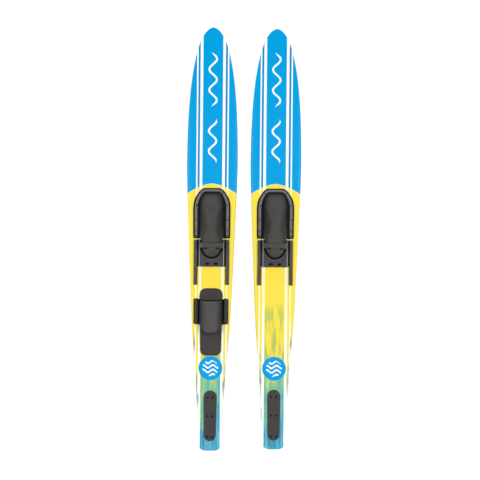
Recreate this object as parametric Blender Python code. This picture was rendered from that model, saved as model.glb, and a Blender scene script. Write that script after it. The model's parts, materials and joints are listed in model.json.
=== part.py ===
"""A pair of combination water skis with adjustable bindings, lying deck side up, tips towards +Y.

Each ski is modelled in a frame of its own: X across, Y towards the tip and Z up from the flat base.
A point's station is its distance behind the left ski's tip, so its Y is minus its station.
All lengths are metres. Both skis then rest on the floor as real ones do, on belly and fin.
"""
import math

import bmesh
import bpy
from mathutils import Matrix, Vector

# The pair
SKI_LENGTH = 1.698            # the 67 inch adult size
SKI_SPACING = 0.256           # between the two centre lines
RIGHT_TIP = 0.004             # the right ski starts this far behind the left one
RIGHT_LENGTH = 1.686
RIGHT_TAIL_SHIFT = -0.005     # its fin and tail plate sit a little further forward
GAP = 0.0003                  # between touching pieces

# Board, seen from above
WIDEST_STATION = 0.534
WIDEST_HALF = 0.103
TIP_HANDLE = 0.0227           # how blunt the tip is
SHOULDER_HANDLE = 0.0342      # how soon the shoulder widens
AFT_HALF_WIDTHS = [(WIDEST_STATION, WIDEST_HALF), (0.694, 0.0992), (0.854, 0.0928), (1.014, 0.0860),
                   (1.174, 0.0786), (1.254, 0.0732), (1.374, 0.0623), (1.494, 0.0556), (1.698, 0.0460)]
TAIL_CORNER = 0.026

# Board, seen from the side
DECK_THICKNESS = 0.019
TIP_THICKNESS = 0.010
TAIL_THICKNESS = 0.012
TAIL_TAPER_START = 1.360
ROCKER_START = 0.560
TIP_RISE = 0.105
ROCKER_POWER = 2.3
BELLY_FRONT, BELLY_REAR = 0.430, 0.490    # the flat patch that touches the floor
EDGE_ROUND = 0.009
LOWER_ROUND = 0.005
TUNNEL_DEPTH = 0.003
TUNNEL_FADE_IN, TUNNEL_FADE_OUT = (0.56, 0.72), (1.28, 1.43)
TUNNEL_EDGE, TUNNEL_WALL = 0.62, 0.45     # where its sloping sides start and end, as shares of half width
WAIST = 0.42                  # height of the widest line in the edge, as a share of the thickness

# Toe binding, height measured from the deck
PLATE = 0.003
TOE_OUTLINE = [(0.0, 0.641), (0.020, 0.641), (0.038, 0.6425), (0.057, 0.663), (0.071, 0.690),
               (0.075, 0.717), (0.0748, 0.760), (0.0744, 0.800), (0.074, 0.843)]
TOE_FOOTPRINT = [(0.0, 0.6585), (0.0165, 0.6585), (0.031, 0.6605), (0.0415, 0.674), (0.0475, 0.694),
                 (0.0500, 0.717), (0.0500, 0.760), (0.0492, 0.800), (0.0480, 0.843)]
TOE_RIDGE = [(0.696, 0.0330), (0.700, 0.0345), (0.707, 0.0365), (0.718, 0.0400), (0.734, 0.0460),
             (0.755, 0.0530), (0.790, 0.0630), (0.826, 0.0720), (0.865, 0.0790)]
TOE_CORNER = 0.006            # rounding of the base plate's rear corners
TOE_BED = [(0.0, 0.664), (0.016, 0.664), (0.029, 0.669), (0.038, 0.680), (0.0435, 0.697),
           (0.0450, 0.720), (0.0450, 0.838), (0.0430, 0.841)]
TOE_BED_TOP = 0.006           # above the base plate
FLANGE = 0.0025               # thickness of the rubber
SIDE_STRIP = (0.0062, 0.0118)    # inset from the flange's edge, and width
FRONT_STRIP = (0.0052, 0.0098)
STRIP_MITRE = 0.0004
STRIP_HEIGHT = 0.003
STRIP_END = 0.839
STRIP_CORNER = 0.004
MITRE_POINT = 4               # the outline's point where the front and side strips meet
PLATE_CHAMFER, STRIP_CHAMFER, BED_CHAMFER = 0.0008, 0.0006, 0.0012

# Heel slider
RAIL_FRONT, RAIL_REAR = 0.850, 1.031
RAIL_INNER, RAIL_OUTER = 0.0564, 0.0706
RAIL_HEIGHT = 0.0124
RAIL_SHOULDERS = [(0.0, 0.0088), (0.0014, 0.0112), (0.0046, RAIL_HEIGHT)]    # inset, height
RAIL_END_ROUND = 0.0012
GROOVE_DEPTH = 0.0038
GROOVE_TOP = 0.0041
TOOTH_PITCH = 0.010
TOOTH_DEPTH = 0.0026
TOOTH_HALF = 0.0022
TOOTH_TOP = 0.0086
FIRST_TOOTH = 0.017           # behind the rail's front end
SLIDE_CLEARANCE = 0.0004
SLIDER_FRONT, SLIDER_REAR = 0.8485, 0.958
SLIDER_HALF = 0.0534
TONGUE_HALF = 0.0596          # the tongue runs in the rails' grooves
TONGUE_START, TONGUE_FULL = 0.003, 0.006
HEEL_CENTRE = 0.868           # centre of the half ellipse round the heel
HEEL_HALF, HEEL_DEPTH = 0.0446, 0.0582
HEEL_FLANGE = 0.0048
HEEL_FRONT = 0.864
HEEL_BED_INSET, HEEL_BED_FRONT, HEEL_BED_HEIGHT = 0.0045, 0.853, 0.005
HEEL_MOUTH = 0.0025           # groove between the rubber and the cover
HEEL_RIDGE = [(0.9020, 0.0560), (0.8975, 0.0600), (0.8910, 0.0638), (0.8830, 0.0668), (0.8745, 0.0688),
              (0.8620, 0.0700)]
COVER_BOTTOM, COVER_TOP = 0.0080, 0.0110
COVER_MARGIN, COVER_CORNER = 0.0005, 0.003
RIB_INNER, RIB_OUTER, RIB_TOP = 0.0476, 0.0496, 0.0127
RIB_REAR = 0.953
SKIRT_INSET, SKIRT_THICK = 0.004, 0.0024
LATCH_STATION = 0.947
LATCH_TRAVEL = 0.004
TAB_CENTRE, TAB_HALF, TAB_TOP = 0.019, 0.0055, 0.0150
BOLT_HALF = 0.0035
BOLT_INNER, BOLT_TIP = 0.0085, 0.0559
BOLT_BOTTOM, BOLT_TOP = 0.0038, 0.0076
TAB_ROUND = 0.001
SLOT_CLEARANCE = 0.0006
LEAF_BOW, LEAF_HALF = 0.0022, 0.0004
LEAF_CLEARANCE = 0.0004
CUT = 0.002                   # how far a cutter stands out of what it cuts

# Rear toe piece, left ski only
PAD_FRONT, PAD_REAR = 1.045, 1.316
PAD_HALF_FRONT, PAD_HALF_REAR = 0.046, 0.042
PAD_HEIGHT = 0.008
PAD_CORNER_FRONT, PAD_CORNER_REAR, PAD_CHAMFER = 0.019, 0.024, 0.0015
STRAP_FOOT, STRAP_EDGE = 0.0495, 0.068
STRAP_RISE_FRONT, STRAP_RISE_REAR = 0.050, 0.060
STRAP_SIDE_FRONT, STRAP_SIDE_REAR = 1.092, 1.198
STRAP_CROWN_FRONT, STRAP_CROWN_REAR = 1.098, 1.225
STRAP_SQUARENESS, STRAP_LEAN = 0.8, 1.5
REAR_CLAMP_FRONT, REAR_CLAMP_REAR = 1.086, 1.190
REAR_CLAMP_INNER, REAR_CLAMP_OUTER = 0.0508, 0.070
REAR_CLAMP_TOP, REAR_CLAMP_CHAMFER = 0.0105, 0.0022
CLAMP_CORNER_OUTER, CLAMP_CORNER_INNER = 0.007, 0.003

# Tail plate and fin
TAIL_PLATE_FRONT, TAIL_PLATE_REAR = 1.456, 1.660
TAIL_PLATE_HALF_FRONT, TAIL_PLATE_HALF_REAR = 0.0265, 0.0240
SCREW_STATIONS = (1.485, 1.560, 1.644)
SCREW_OFFSET = 0.0098
SCREW_HOLE = 0.0027
HEAD_RADIUS, HEAD_HEIGHT = 0.0042, 0.0015
HEAD_CHAMFER, HEAD_CLEARANCE, HEAD_SINK = 0.0004, 0.0004, 0.0002
SOCKET_RADIUS, SOCKET_DEPTH = 0.0016, 0.0011
SHANK_RADIUS, SCREW_LENGTH = 0.0021, 0.020
BORE_DEPTH = 0.030
FIN_FLANGE = 0.004
BLADE_HALF = 0.003
BLADE_SIDE_VIEW = [           # station, height under the base, or instead the lift off the floor
    (1.466, -0.002, None), (1.482, -0.026, None), (1.494, None, 0.0075), (1.503, None, 0.0022),
    (1.514, None, 0.0), (1.630, None, 0.0), (1.640, None, 0.0018), (1.647, None, 0.0070),
    (1.650, None, 0.0150), (1.650, -0.002, None)]

FINISHES = {                  # base colour, roughness, metallic
    "board": ((0.02, 0.45, 0.85), 0.25, 0.0),
    "black_rubber": ((0.035, 0.035, 0.036), 0.60, 0.0),
    "black_plastic": ((0.030, 0.030, 0.032), 0.45, 0.0),
    "grey_plastic": ((0.15, 0.15, 0.17), 0.45, 0.0),
    "foam": ((0.045, 0.045, 0.045), 0.85, 0.0),
    "steel": ((0.45, 0.45, 0.46), 0.30, 1.0),
    "spring_steel": ((0.55, 0.55, 0.56), 0.30, 1.0),
}


# ---------------------------------------------------------------- curves and profiles

def smoothstep(low, high, value):
    """Ease from 0 at low to 1 at high."""
    t = min(1.0, max(0.0, (value - low) / (high - low)))
    return t * t * (3.0 - 2.0 * t)


def catmull_rom(points, steps):
    """A smooth curve through the points, with this many steps between neighbours."""
    points = [Vector(p) for p in points]
    curve = []
    for i in range(len(points) - 1):
        before = points[max(i - 1, 0)]
        here, after = points[i], points[i + 1]
        beyond = points[min(i + 2, len(points) - 1)]
        for k in range(steps):
            t = k / steps
            curve.append(0.5 * (2.0 * here + (after - before) * t
                                + (2.0 * before - 5.0 * here + 4.0 * after - beyond) * t * t
                                + (3.0 * here - before - 3.0 * after + beyond) * t ** 3))
    return curve + [points[-1]]


def arc(centre, radius, start, end, steps):
    """Points on a circle from one angle to another, in degrees."""
    angles = [math.radians(start + (end - start) * k / steps) for k in range(steps + 1)]
    return [(centre[0] + radius * math.cos(a), centre[1] + radius * math.sin(a)) for a in angles]


def forebody_half_width(distance):
    """Half width between tip and widest point: a Bezier curve, square across the tip."""
    low, high = 0.0, 1.0
    for _ in range(40):
        t = 0.5 * (low + high)
        reached = 3.0 * (1.0 - t) * t * t * SHOULDER_HANDLE + t ** 3 * WIDEST_STATION
        low, high = (t, high) if reached < distance else (low, t)
    return (3.0 * (1.0 - t) ** 2 * t * TIP_HANDLE + 3.0 * (1.0 - t) * t * t * WIDEST_HALF
            + t ** 3 * WIDEST_HALF)


def aft_half_width(distance):
    """Half width behind the widest point: a smooth curve through the listed places."""
    places = AFT_HALF_WIDTHS
    i = 0
    while i < len(places) - 2 and places[i + 1][0] < distance:
        i += 1
    (s0, w0), (s1, w1) = places[i], places[i + 1]
    before = places[max(i - 1, 0)]
    beyond = places[min(i + 2, len(places) - 1)]
    slope0 = 0.0 if i == 0 else (w1 - before[1]) / (s1 - before[0])
    slope1 = (beyond[1] - w0) / (beyond[0] - s0)
    span = s1 - s0
    t = (distance - s0) / span
    return ((2 * t ** 3 - 3 * t * t + 1) * w0 + (t ** 3 - 2 * t * t + t) * span * slope0
            + (3 * t * t - 2 * t ** 3) * w1 + (t ** 3 - t * t) * span * slope1)


def base_height(station):
    """Height of the base above its flat part: the tip rocker, with a flat belly patch in it."""
    def rocker(s):
        return TIP_RISE * max(0.0, 1.0 - s / ROCKER_START) ** ROCKER_POWER
    if BELLY_FRONT < station < BELLY_REAR:
        t = (station - BELLY_FRONT) / (BELLY_REAR - BELLY_FRONT)
        return rocker(BELLY_FRONT) * (1.0 - t) + rocker(BELLY_REAR) * t
    return rocker(station)


def board_thickness(station):
    thick = TIP_THICKNESS + (DECK_THICKNESS - TIP_THICKNESS) * smoothstep(0.0, ROCKER_START, station)
    taper = max(0.0, station - TAIL_TAPER_START) / (SKI_LENGTH - TAIL_TAPER_START)
    return thick - (DECK_THICKNESS - TAIL_THICKNESS) * taper


def tunnel_depth(station):
    fade_in, fade_out = smoothstep(*TUNNEL_FADE_IN, station), smoothstep(*TUNNEL_FADE_OUT, station)
    return TUNNEL_DEPTH * fade_in * (1.0 - fade_out)


BELLY_SLOPE = (base_height(BELLY_FRONT) - base_height(BELLY_REAR)) / (BELLY_REAR - BELLY_FRONT)
PITCH = math.atan(BELLY_SLOPE)
TIP_REACH = (TIP_RISE + TIP_THICKNESS) * math.sin(PITCH)
TAIL_SLOPE = math.atan((DECK_THICKNESS - TAIL_THICKNESS) / (SKI_LENGTH - TAIL_TAPER_START))


def floor_height(station):
    """The floor in the ski's own frame: the line that the belly patch lies on."""
    return base_height(BELLY_REAR) - (station - BELLY_REAR) * BELLY_SLOPE


# ---------------------------------------------------------------- mesh and object helpers

def make_finish(name):
    colour, roughness, metallic = FINISHES[name]
    material = bpy.data.materials.get(name)
    if material is None:
        material = bpy.data.materials.new(name)
        material.use_nodes = True
        shader = material.node_tree.nodes["Principled BSDF"]
        shader.inputs["Base Color"].default_value = (*colour, 1.0)
        shader.inputs["Roughness"].default_value = roughness
        shader.inputs["Metallic"].default_value = metallic
    return material


def new_object(name, mesh, finish, parent):
    """An object on its parent. Its mesh is given in the ski's frame and moved to the parent's origin."""
    if isinstance(mesh, bmesh.types.BMesh):
        bm, mesh = mesh, bpy.data.meshes.new(name)
        if all(edge.is_manifold for edge in bm.edges):
            bmesh.ops.recalc_face_normals(bm, faces=bm.faces)
        bm.to_mesh(mesh)
        bm.free()
        mesh.transform(Matrix.Translation(-Vector(parent["ski_place"])))
    mesh.materials.clear()
    mesh.materials.append(make_finish(finish))
    mesh.shade_smooth()
    mesh.set_sharp_from_angle(angle=math.radians(35.0))
    obj = bpy.data.objects.new(name, mesh)
    bpy.context.scene.collection.objects.link(obj)
    obj.parent = parent
    return obj


def new_empty(name, parent=None, place=(0.0, 0.0, 0.0)):
    """An empty at a place in the ski's frame, which it remembers for the pieces it will carry."""
    empty = bpy.data.objects.new(name, None)
    empty.empty_display_size = 0.05
    bpy.context.scene.collection.objects.link(empty)
    empty.parent = parent
    empty.location = Vector(place) - Vector(parent["ski_place"] if parent else (0.0, 0.0, 0.0))
    empty["ski_place"] = place
    return empty


def new_cutter(name, bm, parent):
    cutter = new_object(name, bm, "steel", parent)
    cutter.hide_render = True
    cutter.display_type = "WIRE"
    return cutter


def combine(obj, other, operation):
    modifier = obj.modifiers.new(operation.lower(), "BOOLEAN")
    modifier.operation = operation
    modifier.object = other
    modifier.solver = "EXACT"


def loft(bm, rings, closed_ends=True):
    """Join rings of equally many points, and cap both ends."""
    loops = [[bm.verts.new(p) for p in ring] for ring in rings]
    count = len(loops[0])
    for one, two in zip(loops, loops[1:]):
        for k in range(count):
            bm.faces.new((one[k], one[(k + 1) % count], two[(k + 1) % count], two[k]))
    if closed_ends:
        bm.faces.new(loops[0])
        bm.faces.new(list(reversed(loops[-1])))
    return bm


def slab(outline, bottom, top, chamfer=0.0):
    """A plate with this plan outline of (x, station) points, with a chamfered upper edge."""
    bm = bmesh.new()
    count = len(outline)
    levels = [(bottom, 0.0), (top - chamfer, 0.0)] + ([(top, chamfer)] if chamfer else [])
    rings = []
    for height, inset in levels:
        ring = []
        for k, (x, s) in enumerate(outline):
            step = Vector(outline[(k + 1) % count]) - Vector(outline[k - 1])
            inward = Vector((-step.y, step.x)).normalized() * inset
            ring.append((x + inward.x, -(s + inward.y), height))
        rings.append(ring)
    return loft(bm, rings)


def bar_along(profile, front, rear, rounding=0.0):
    """A bar along the ski with this section of (x, z) points, its ends drawn in by the rounding."""
    middle = sum((Vector(p) for p in profile), Vector((0.0, 0.0))) / len(profile)
    places = [(front, 0.0), (rear, 0.0)]
    if rounding:
        places = [(front, rounding), (front + rounding, 0.0), (rear - rounding, 0.0), (rear, rounding)]
    rings = []
    for station, inset in places:
        shrink = 1.0 - inset / max((Vector(p) - middle).length for p in profile)
        rings.append([(middle.x + (x - middle.x) * shrink, -station, middle.y + (z - middle.y) * shrink)
                      for x, z in profile])
    return loft(bmesh.new(), rings)


def box(x0, x1, front, rear, bottom, top):
    return bar_along([(x0, bottom), (x1, bottom), (x1, top), (x0, top)], front, rear)


def join(bodies):
    """Several separate closed bodies in one mesh, for a cutter."""
    together = bmesh.new()
    for bm in bodies:
        mesh = bpy.data.meshes.new("joined")
        bm.to_mesh(mesh)
        bm.free()
        together.from_mesh(mesh)
        bpy.data.meshes.remove(mesh)
    return together


def cylinder(x, y, bottom, top, radius, sides):
    return loft(bmesh.new(), [[(x + radius * math.cos(2 * math.pi * k / sides),
                                y + radius * math.sin(2 * math.pi * k / sides), z)
                               for k in range(sides)] for z in (bottom, top)])


def mirrored(points):
    """The right-hand points, then their mirror images in reverse, for a plan outline."""
    left = [(-x, s) for x, s in reversed(points) if x > 0.0]
    return [tuple(p) for p in points] + left


def offset_outline(outline, depth):
    """The outline of (x, station) points moved inwards by this depth."""
    moved = []
    for i, point in enumerate(outline):
        step = outline[min(i + 1, len(outline) - 1)] - outline[max(i - 1, 0)]
        moved.append(tuple(point + Vector((-step.y, step.x)).normalized() * depth))
    return moved


def hood(arches):
    """A sheet through the arches, facing up, to be thickened. An arch folded flat closes its end."""
    bm = bmesh.new()
    rows = [[bm.verts.new(p) for p in arch] for arch in arches]
    for one, two in zip(rows, rows[1:]):
        for k in range(len(one) - 1):
            bm.faces.new((one[k], one[k + 1], two[k + 1], two[k]))
    bmesh.ops.remove_doubles(bm, verts=bm.verts, dist=1e-5)
    bm.normal_update()
    if sum(face.normal.z for face in bm.faces) < 0.0:
        bmesh.ops.reverse_faces(bm, faces=bm.faces)
    return bm


def thicken(obj, thickness, offset):
    modifier = obj.modifiers.new("thickness", "SOLIDIFY")
    modifier.thickness = thickness
    modifier.offset = offset
    modifier.use_even_offset = True


def arch_points(edge, foot, ridge, base, lean, steps=7, squareness=0.77):
    """One arch from the right flange edge over the ridge to the left one, as a rounded square."""
    right = [(edge[0], -edge[1], base), (foot[0], -foot[1], base)]
    for k in range(1, steps):
        angle = 0.5 * math.pi * k / steps
        across = math.cos(angle) ** squareness
        along = math.cos(angle) ** lean
        right.append((foot[0] * across, -(ridge[0] + (foot[1] - ridge[0]) * along),
                      base + ridge[1] * math.sin(angle) ** squareness))
    left = [(-x, y, z) for x, y, z in reversed(right)]
    return right + [(0.0, -ridge[0], base + ridge[1])] + left


# ---------------------------------------------------------------- the pieces of a ski

def make_board(prefix, ski, tip, length, cutters):
    """The board: a loft with rounded edges, tip rocker and a shallow tunnel in its base."""
    nose = [0.10 * (k / 9) ** 2 for k in range(1, 10)]
    forebody = [0.13 + 0.03 * k for k in range(10)]
    aft = [BELLY_FRONT, BELLY_REAR, WIDEST_STATION, ROCKER_START] + [0.60 + 0.05 * k for k in range(16)]
    tail = [TAIL_TAPER_START, 1.42, 1.46, 1.56, 1.62]
    rounding = [SKI_LENGTH - TAIL_CORNER * (1.0 - math.sin(math.radians(15 * k))) for k in range(7)]
    rings = []
    for station in [0.0004] + nose + forebody + aft + tail + rounding:
        if station < WIDEST_STATION:
            half = forebody_half_width(station)
        else:
            half = aft_half_width(station)
        into_corner = max(0.0, station - (SKI_LENGTH - TAIL_CORNER))
        half -= TAIL_CORNER - math.sqrt(max(0.0, TAIL_CORNER ** 2 - into_corner ** 2))
        place = tip + station * length / SKI_LENGTH
        if BELLY_FRONT <= station <= ROCKER_START:
            place = station
        low = base_height(place)
        high = low + board_thickness(place)
        waist = low + WAIST * (high - low)
        edge = min(EDGE_ROUND, 0.45 * half)
        under = min(LOWER_ROUND, 0.3 * half)
        tunnel = low + tunnel_depth(place)
        right = [(half - edge * (1.0 - math.sin(a)), waist + (high - waist) * math.cos(a))
                 for a in (math.radians(30 * k) for k in range(4))]
        right += [(half - under * (1.0 - math.cos(a)), waist - (waist - low) * math.sin(a))
                  for a in (math.radians(45), math.radians(90))]
        right += [(TUNNEL_EDGE * half, low), (TUNNEL_WALL * half, tunnel)]
        left = [(-x, z) for x, z in reversed(right)]
        rings.append([(x, -place, z) for x, z in [(0.0, high)] + right + [(0.0, tunnel)] + left])
    board = new_object(prefix + "board", loft(bmesh.new(), rings), "board", ski)
    combine(board, cutters["holes"], "DIFFERENCE")


def make_toe(prefix, ski):
    """Base plate, footbed, rubber toe piece and its three clamp strips."""
    deck = DECK_THICKNESS
    outline = catmull_rom(TOE_OUTLINE, 2)
    base_bottom = deck + GAP
    base_top = base_bottom + PLATE
    rear_corner = arc((outline[-1].x - TOE_CORNER, outline[-1].y - TOE_CORNER + 0.001),
                      TOE_CORNER, 15.0, 90.0, 3)
    plan = mirrored([tuple(p) for p in outline[:-1]] + rear_corner)
    new_object(prefix + "toe_base", slab(plan, base_bottom, base_top, PLATE_CHAMFER), "black_plastic", ski)
    bed = slab(mirrored(TOE_BED), base_top + GAP, base_top + TOE_BED_TOP, BED_CHAMFER)
    new_object(prefix + "toe_footbed", bed, "foam", ski)

    flange_bottom = base_top + GAP
    flange_top = flange_bottom + FLANGE
    feet = catmull_rom(TOE_FOOTPRINT, 2)
    ridges = catmull_rom(TOE_RIDGE, 2)
    last = len(feet) - 1
    arches = [arch_points(outline[i], feet[i], ridges[i], flange_top, lean=0.8 + 4.2 * (i / last) ** 2)
              for i in range(last + 1)]
    rubber = new_object(prefix + "toe_rubber", hood(arches), "black_rubber", ski)
    thicken(rubber, FLANGE, -1.0)

    strip_bottom = flange_top + GAP
    strip_top = strip_bottom + STRIP_HEIGHT
    outer, inner = (offset_outline(outline, depth) for depth in (FRONT_STRIP[0], sum(FRONT_STRIP)))
    right = [(x - STRIP_MITRE, s) for x, s in outer[1:MITRE_POINT + 1]]
    right += [(x - STRIP_MITRE, s) for x, s in reversed(inner[1:MITRE_POINT + 1])]
    strips = {"front": mirrored(right)}
    outer, inner = (offset_outline(outline, depth) for depth in (SIDE_STRIP[0], sum(SIDE_STRIP)))
    end = STRIP_END - STRIP_CORNER
    rounded = arc((outer[-1][0] - STRIP_CORNER, end), STRIP_CORNER, 0, 90, 3)
    rounded += arc((inner[-1][0] + STRIP_CORNER, end), STRIP_CORNER, 90, 180, 3)
    strips["right"] = outer[MITRE_POINT:-1] + rounded + list(reversed(inner[MITRE_POINT:-1]))
    strips["left"] = [(-x, s) for x, s in reversed(strips["right"])]
    for side, plan in strips.items():
        strip = slab(plan, strip_bottom, strip_top, STRIP_CHAMFER)
        new_object(prefix + "toe_clamp_" + side, strip, "grey_plastic", ski)


def make_rails(prefix, ski):
    """Two slotted rails: a groove for the slider's tongue and a row of lock notches."""
    deck = DECK_THICKNESS
    section = [(RAIL_INNER + GROOVE_DEPTH, GAP), (RAIL_OUTER, GAP)]
    section += [(RAIL_OUTER - inset, height) for inset, height in RAIL_SHOULDERS]
    section += [(RAIL_INNER + inset, height) for inset, height in reversed(RAIL_SHOULDERS)]
    section += [(RAIL_INNER, GROOVE_TOP), (RAIL_INNER + GROOVE_DEPTH, GROOVE_TOP)]
    notch_count = int((RAIL_REAR - RAIL_FRONT - FIRST_TOOTH) / TOOTH_PITCH)
    for side, sign in (("left", -1.0), ("right", 1.0)):
        profile = [(sign * x, deck + z) for x, z in section]
        bar = bar_along(profile, RAIL_FRONT, RAIL_REAR, RAIL_END_ROUND)
        rail = new_object(prefix + "rail_" + side, bar, "black_plastic", ski)
        low, high = sorted((sign * (RAIL_INNER - CUT), sign * (RAIL_INNER + TOOTH_DEPTH)))
        notches = []
        for k in range(notch_count):
            middle = RAIL_FRONT + FIRST_TOOTH + TOOTH_PITCH * k
            notches.append(box(low, high, middle - TOOTH_HALF, middle + TOOTH_HALF,
                               deck + GROOVE_TOP - CUT, deck + TOOTH_TOP))
        combine(rail, new_cutter(prefix + "notches_" + side, join(notches), ski), "DIFFERENCE")


def heel_outline(grow, front):
    """Half ellipse round the heel, right half from the rear, grown by this much, and run forward."""
    points = [((HEEL_HALF + grow) * math.sin(a), HEEL_CENTRE + (HEEL_DEPTH + grow) * math.cos(a))
              for a in (math.radians(11.25 * k) for k in range(9))]
    points[0] = (0.0, points[0][1])
    return points + ([(HEEL_HALF + grow, front)] if front < HEEL_CENTRE else [])


def make_heel(prefix, slider):
    """The slider that carries the heel: base, cover, rubber cup and footbed."""
    deck = DECK_THICKNESS
    half, tongue = SLIDER_HALF, TONGUE_HALF
    front, rear = SLIDER_FRONT, SLIDER_REAR
    plan = mirrored([(0.0, front), (half, front), (half, front + TONGUE_START),
                     (tongue, front + TONGUE_FULL), (tongue, rear - TONGUE_FULL),
                     (half, rear - TONGUE_START), (half, rear), (0.0, rear)])
    base_bottom = deck + SLIDE_CLEARANCE
    new_object(prefix + "heel_base", slab(plan, base_bottom, base_bottom + PLATE), "black_plastic", slider)

    flange_bottom = base_bottom + PLATE + GAP
    plan = mirrored(list(reversed(heel_outline(-HEEL_BED_INSET, HEEL_BED_FRONT))))[::-1]
    bed = slab(plan, flange_bottom, flange_bottom + HEEL_BED_HEIGHT, BED_CHAMFER)
    new_object(prefix + "heel_footbed", bed, "foam", slider)

    feet = [Vector(p) for p in heel_outline(0.0, HEEL_FRONT)]
    edges = [Vector(p) for p in heel_outline(HEEL_FLANGE, HEEL_FRONT)]
    last = len(feet) - 1
    spaced = catmull_rom(HEEL_RIDGE, 4)
    ridges = [spaced[round(i * (len(spaced) - 1) / last)] for i in range(last + 1)]
    arches = [arch_points(edges[i], feet[i], ridges[i], flange_bottom + FLANGE,
                          lean=0.8 + 0.4 * i / last, squareness=0.80) for i in range(last + 1)]
    rubber = new_object(prefix + "heel_rubber", hood(arches), "black_rubber", slider)
    thicken(rubber, FLANGE, -1.0)

    make_heel_cover(prefix, slider, flange_bottom)


def make_heel_cover(prefix, slider, base_top):
    """The cover round the rubber, with its two ribs, its rear skirt and the slots for the latch tabs."""
    deck = DECK_THICKNESS
    half = SLIDER_HALF
    front, rear = SLIDER_FRONT + COVER_MARGIN, SLIDER_REAR - COVER_MARGIN
    mouth = heel_outline(HEEL_MOUTH, front)
    notch = [(-x, s) for x, s in mouth[:0:-1]] + mouth
    outer = [(half, front), (half, rear - COVER_CORNER), (half - COVER_CORNER, rear),
             (-half + COVER_CORNER, rear), (-half, rear - COVER_CORNER), (-half, front)]
    plate = slab(notch + outer, deck + COVER_BOTTOM, deck + COVER_TOP)
    cover = new_object(prefix + "heel_cover", plate, "black_plastic", slider)
    for name, sign in (("left", -1.0), ("right", 1.0)):
        low, high = sorted((sign * RIB_INNER, sign * RIB_OUTER))
        rib = box(low, high, front + CUT, RIB_REAR, deck + COVER_TOP - 0.5 * CUT, deck + RIB_TOP)
        combine(cover, new_cutter(prefix + "rib_" + name, rib, slider), "UNION")
    skirt = box(SKIRT_INSET - half, half - SKIRT_INSET, rear - 2 * GAP - SKIRT_THICK, rear - 2 * GAP,
                base_top + GAP, deck + COVER_BOTTOM + 0.5 * CUT)
    combine(cover, new_cutter(prefix + "cover_skirt", skirt, slider), "UNION")
    slots = []
    for sign in (-1.0, 1.0):
        low, high = sorted((sign * (TAB_CENTRE - TAB_HALF - LATCH_TRAVEL - SLOT_CLEARANCE),
                            sign * (TAB_CENTRE + TAB_HALF + SLOT_CLEARANCE)))
        reach = BOLT_HALF + SLOT_CLEARANCE
        slots.append(box(low, high, LATCH_STATION - reach, LATCH_STATION + reach,
                         deck + COVER_BOTTOM - CUT, deck + COVER_TOP + CUT))
    combine(cover, new_cutter(prefix + "tab_slots", join(slots), slider), "DIFFERENCE")


def make_latches(prefix, slider):
    """Two squeeze bolts that lock the slider to the rails, and the leaf spring between them."""
    deck = DECK_THICKNESS
    tab_low, tab_high = TAB_CENTRE - TAB_HALF, TAB_CENTRE + TAB_HALF
    section = [(BOLT_INNER, BOLT_BOTTOM), (BOLT_TIP, BOLT_BOTTOM), (BOLT_TIP, BOLT_TOP),
               (tab_high, BOLT_TOP), (tab_high, TAB_TOP - TAB_ROUND), (tab_high - TAB_ROUND, TAB_TOP),
               (tab_low + TAB_ROUND, TAB_TOP), (tab_low, TAB_TOP - TAB_ROUND), (tab_low, BOLT_TOP),
               (BOLT_INNER, BOLT_TOP)]
    for side, sign in (("left", -1.0), ("right", 1.0)):
        carriage = new_empty(prefix + "latch_" + side + "_slide", slider,
                             (sign * TAB_CENTRE, -LATCH_STATION, deck))
        profile = [(sign * x, deck + z) for x, z in section]
        bolt = bar_along(profile, LATCH_STATION - BOLT_HALF, LATCH_STATION + BOLT_HALF)
        new_object(prefix + "latch_" + side, bolt, "black_plastic", carriage)

    reach = BOLT_INNER - LATCH_TRAVEL - LEAF_CLEARANCE
    rings = []
    for k in range(13):
        angle = math.radians(30 * k)
        across, along = math.cos(angle), math.sin(angle)
        ring = []
        for side, height in ((1, BOLT_BOTTOM), (-1, BOLT_BOTTOM), (-1, BOLT_TOP), (1, BOLT_TOP)):
            ring.append(((reach + side * LEAF_HALF) * across,
                         -(LATCH_STATION + (LEAF_BOW + side * LEAF_HALF) * along), deck + height))
        rings.append(ring)
    leaf_loop = loft(bmesh.new(), rings, closed_ends=False)
    bmesh.ops.remove_doubles(leaf_loop, verts=leaf_loop.verts, dist=1e-6)
    new_object(prefix + "latch_spring", leaf_loop, "spring_steel", slider)


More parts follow.
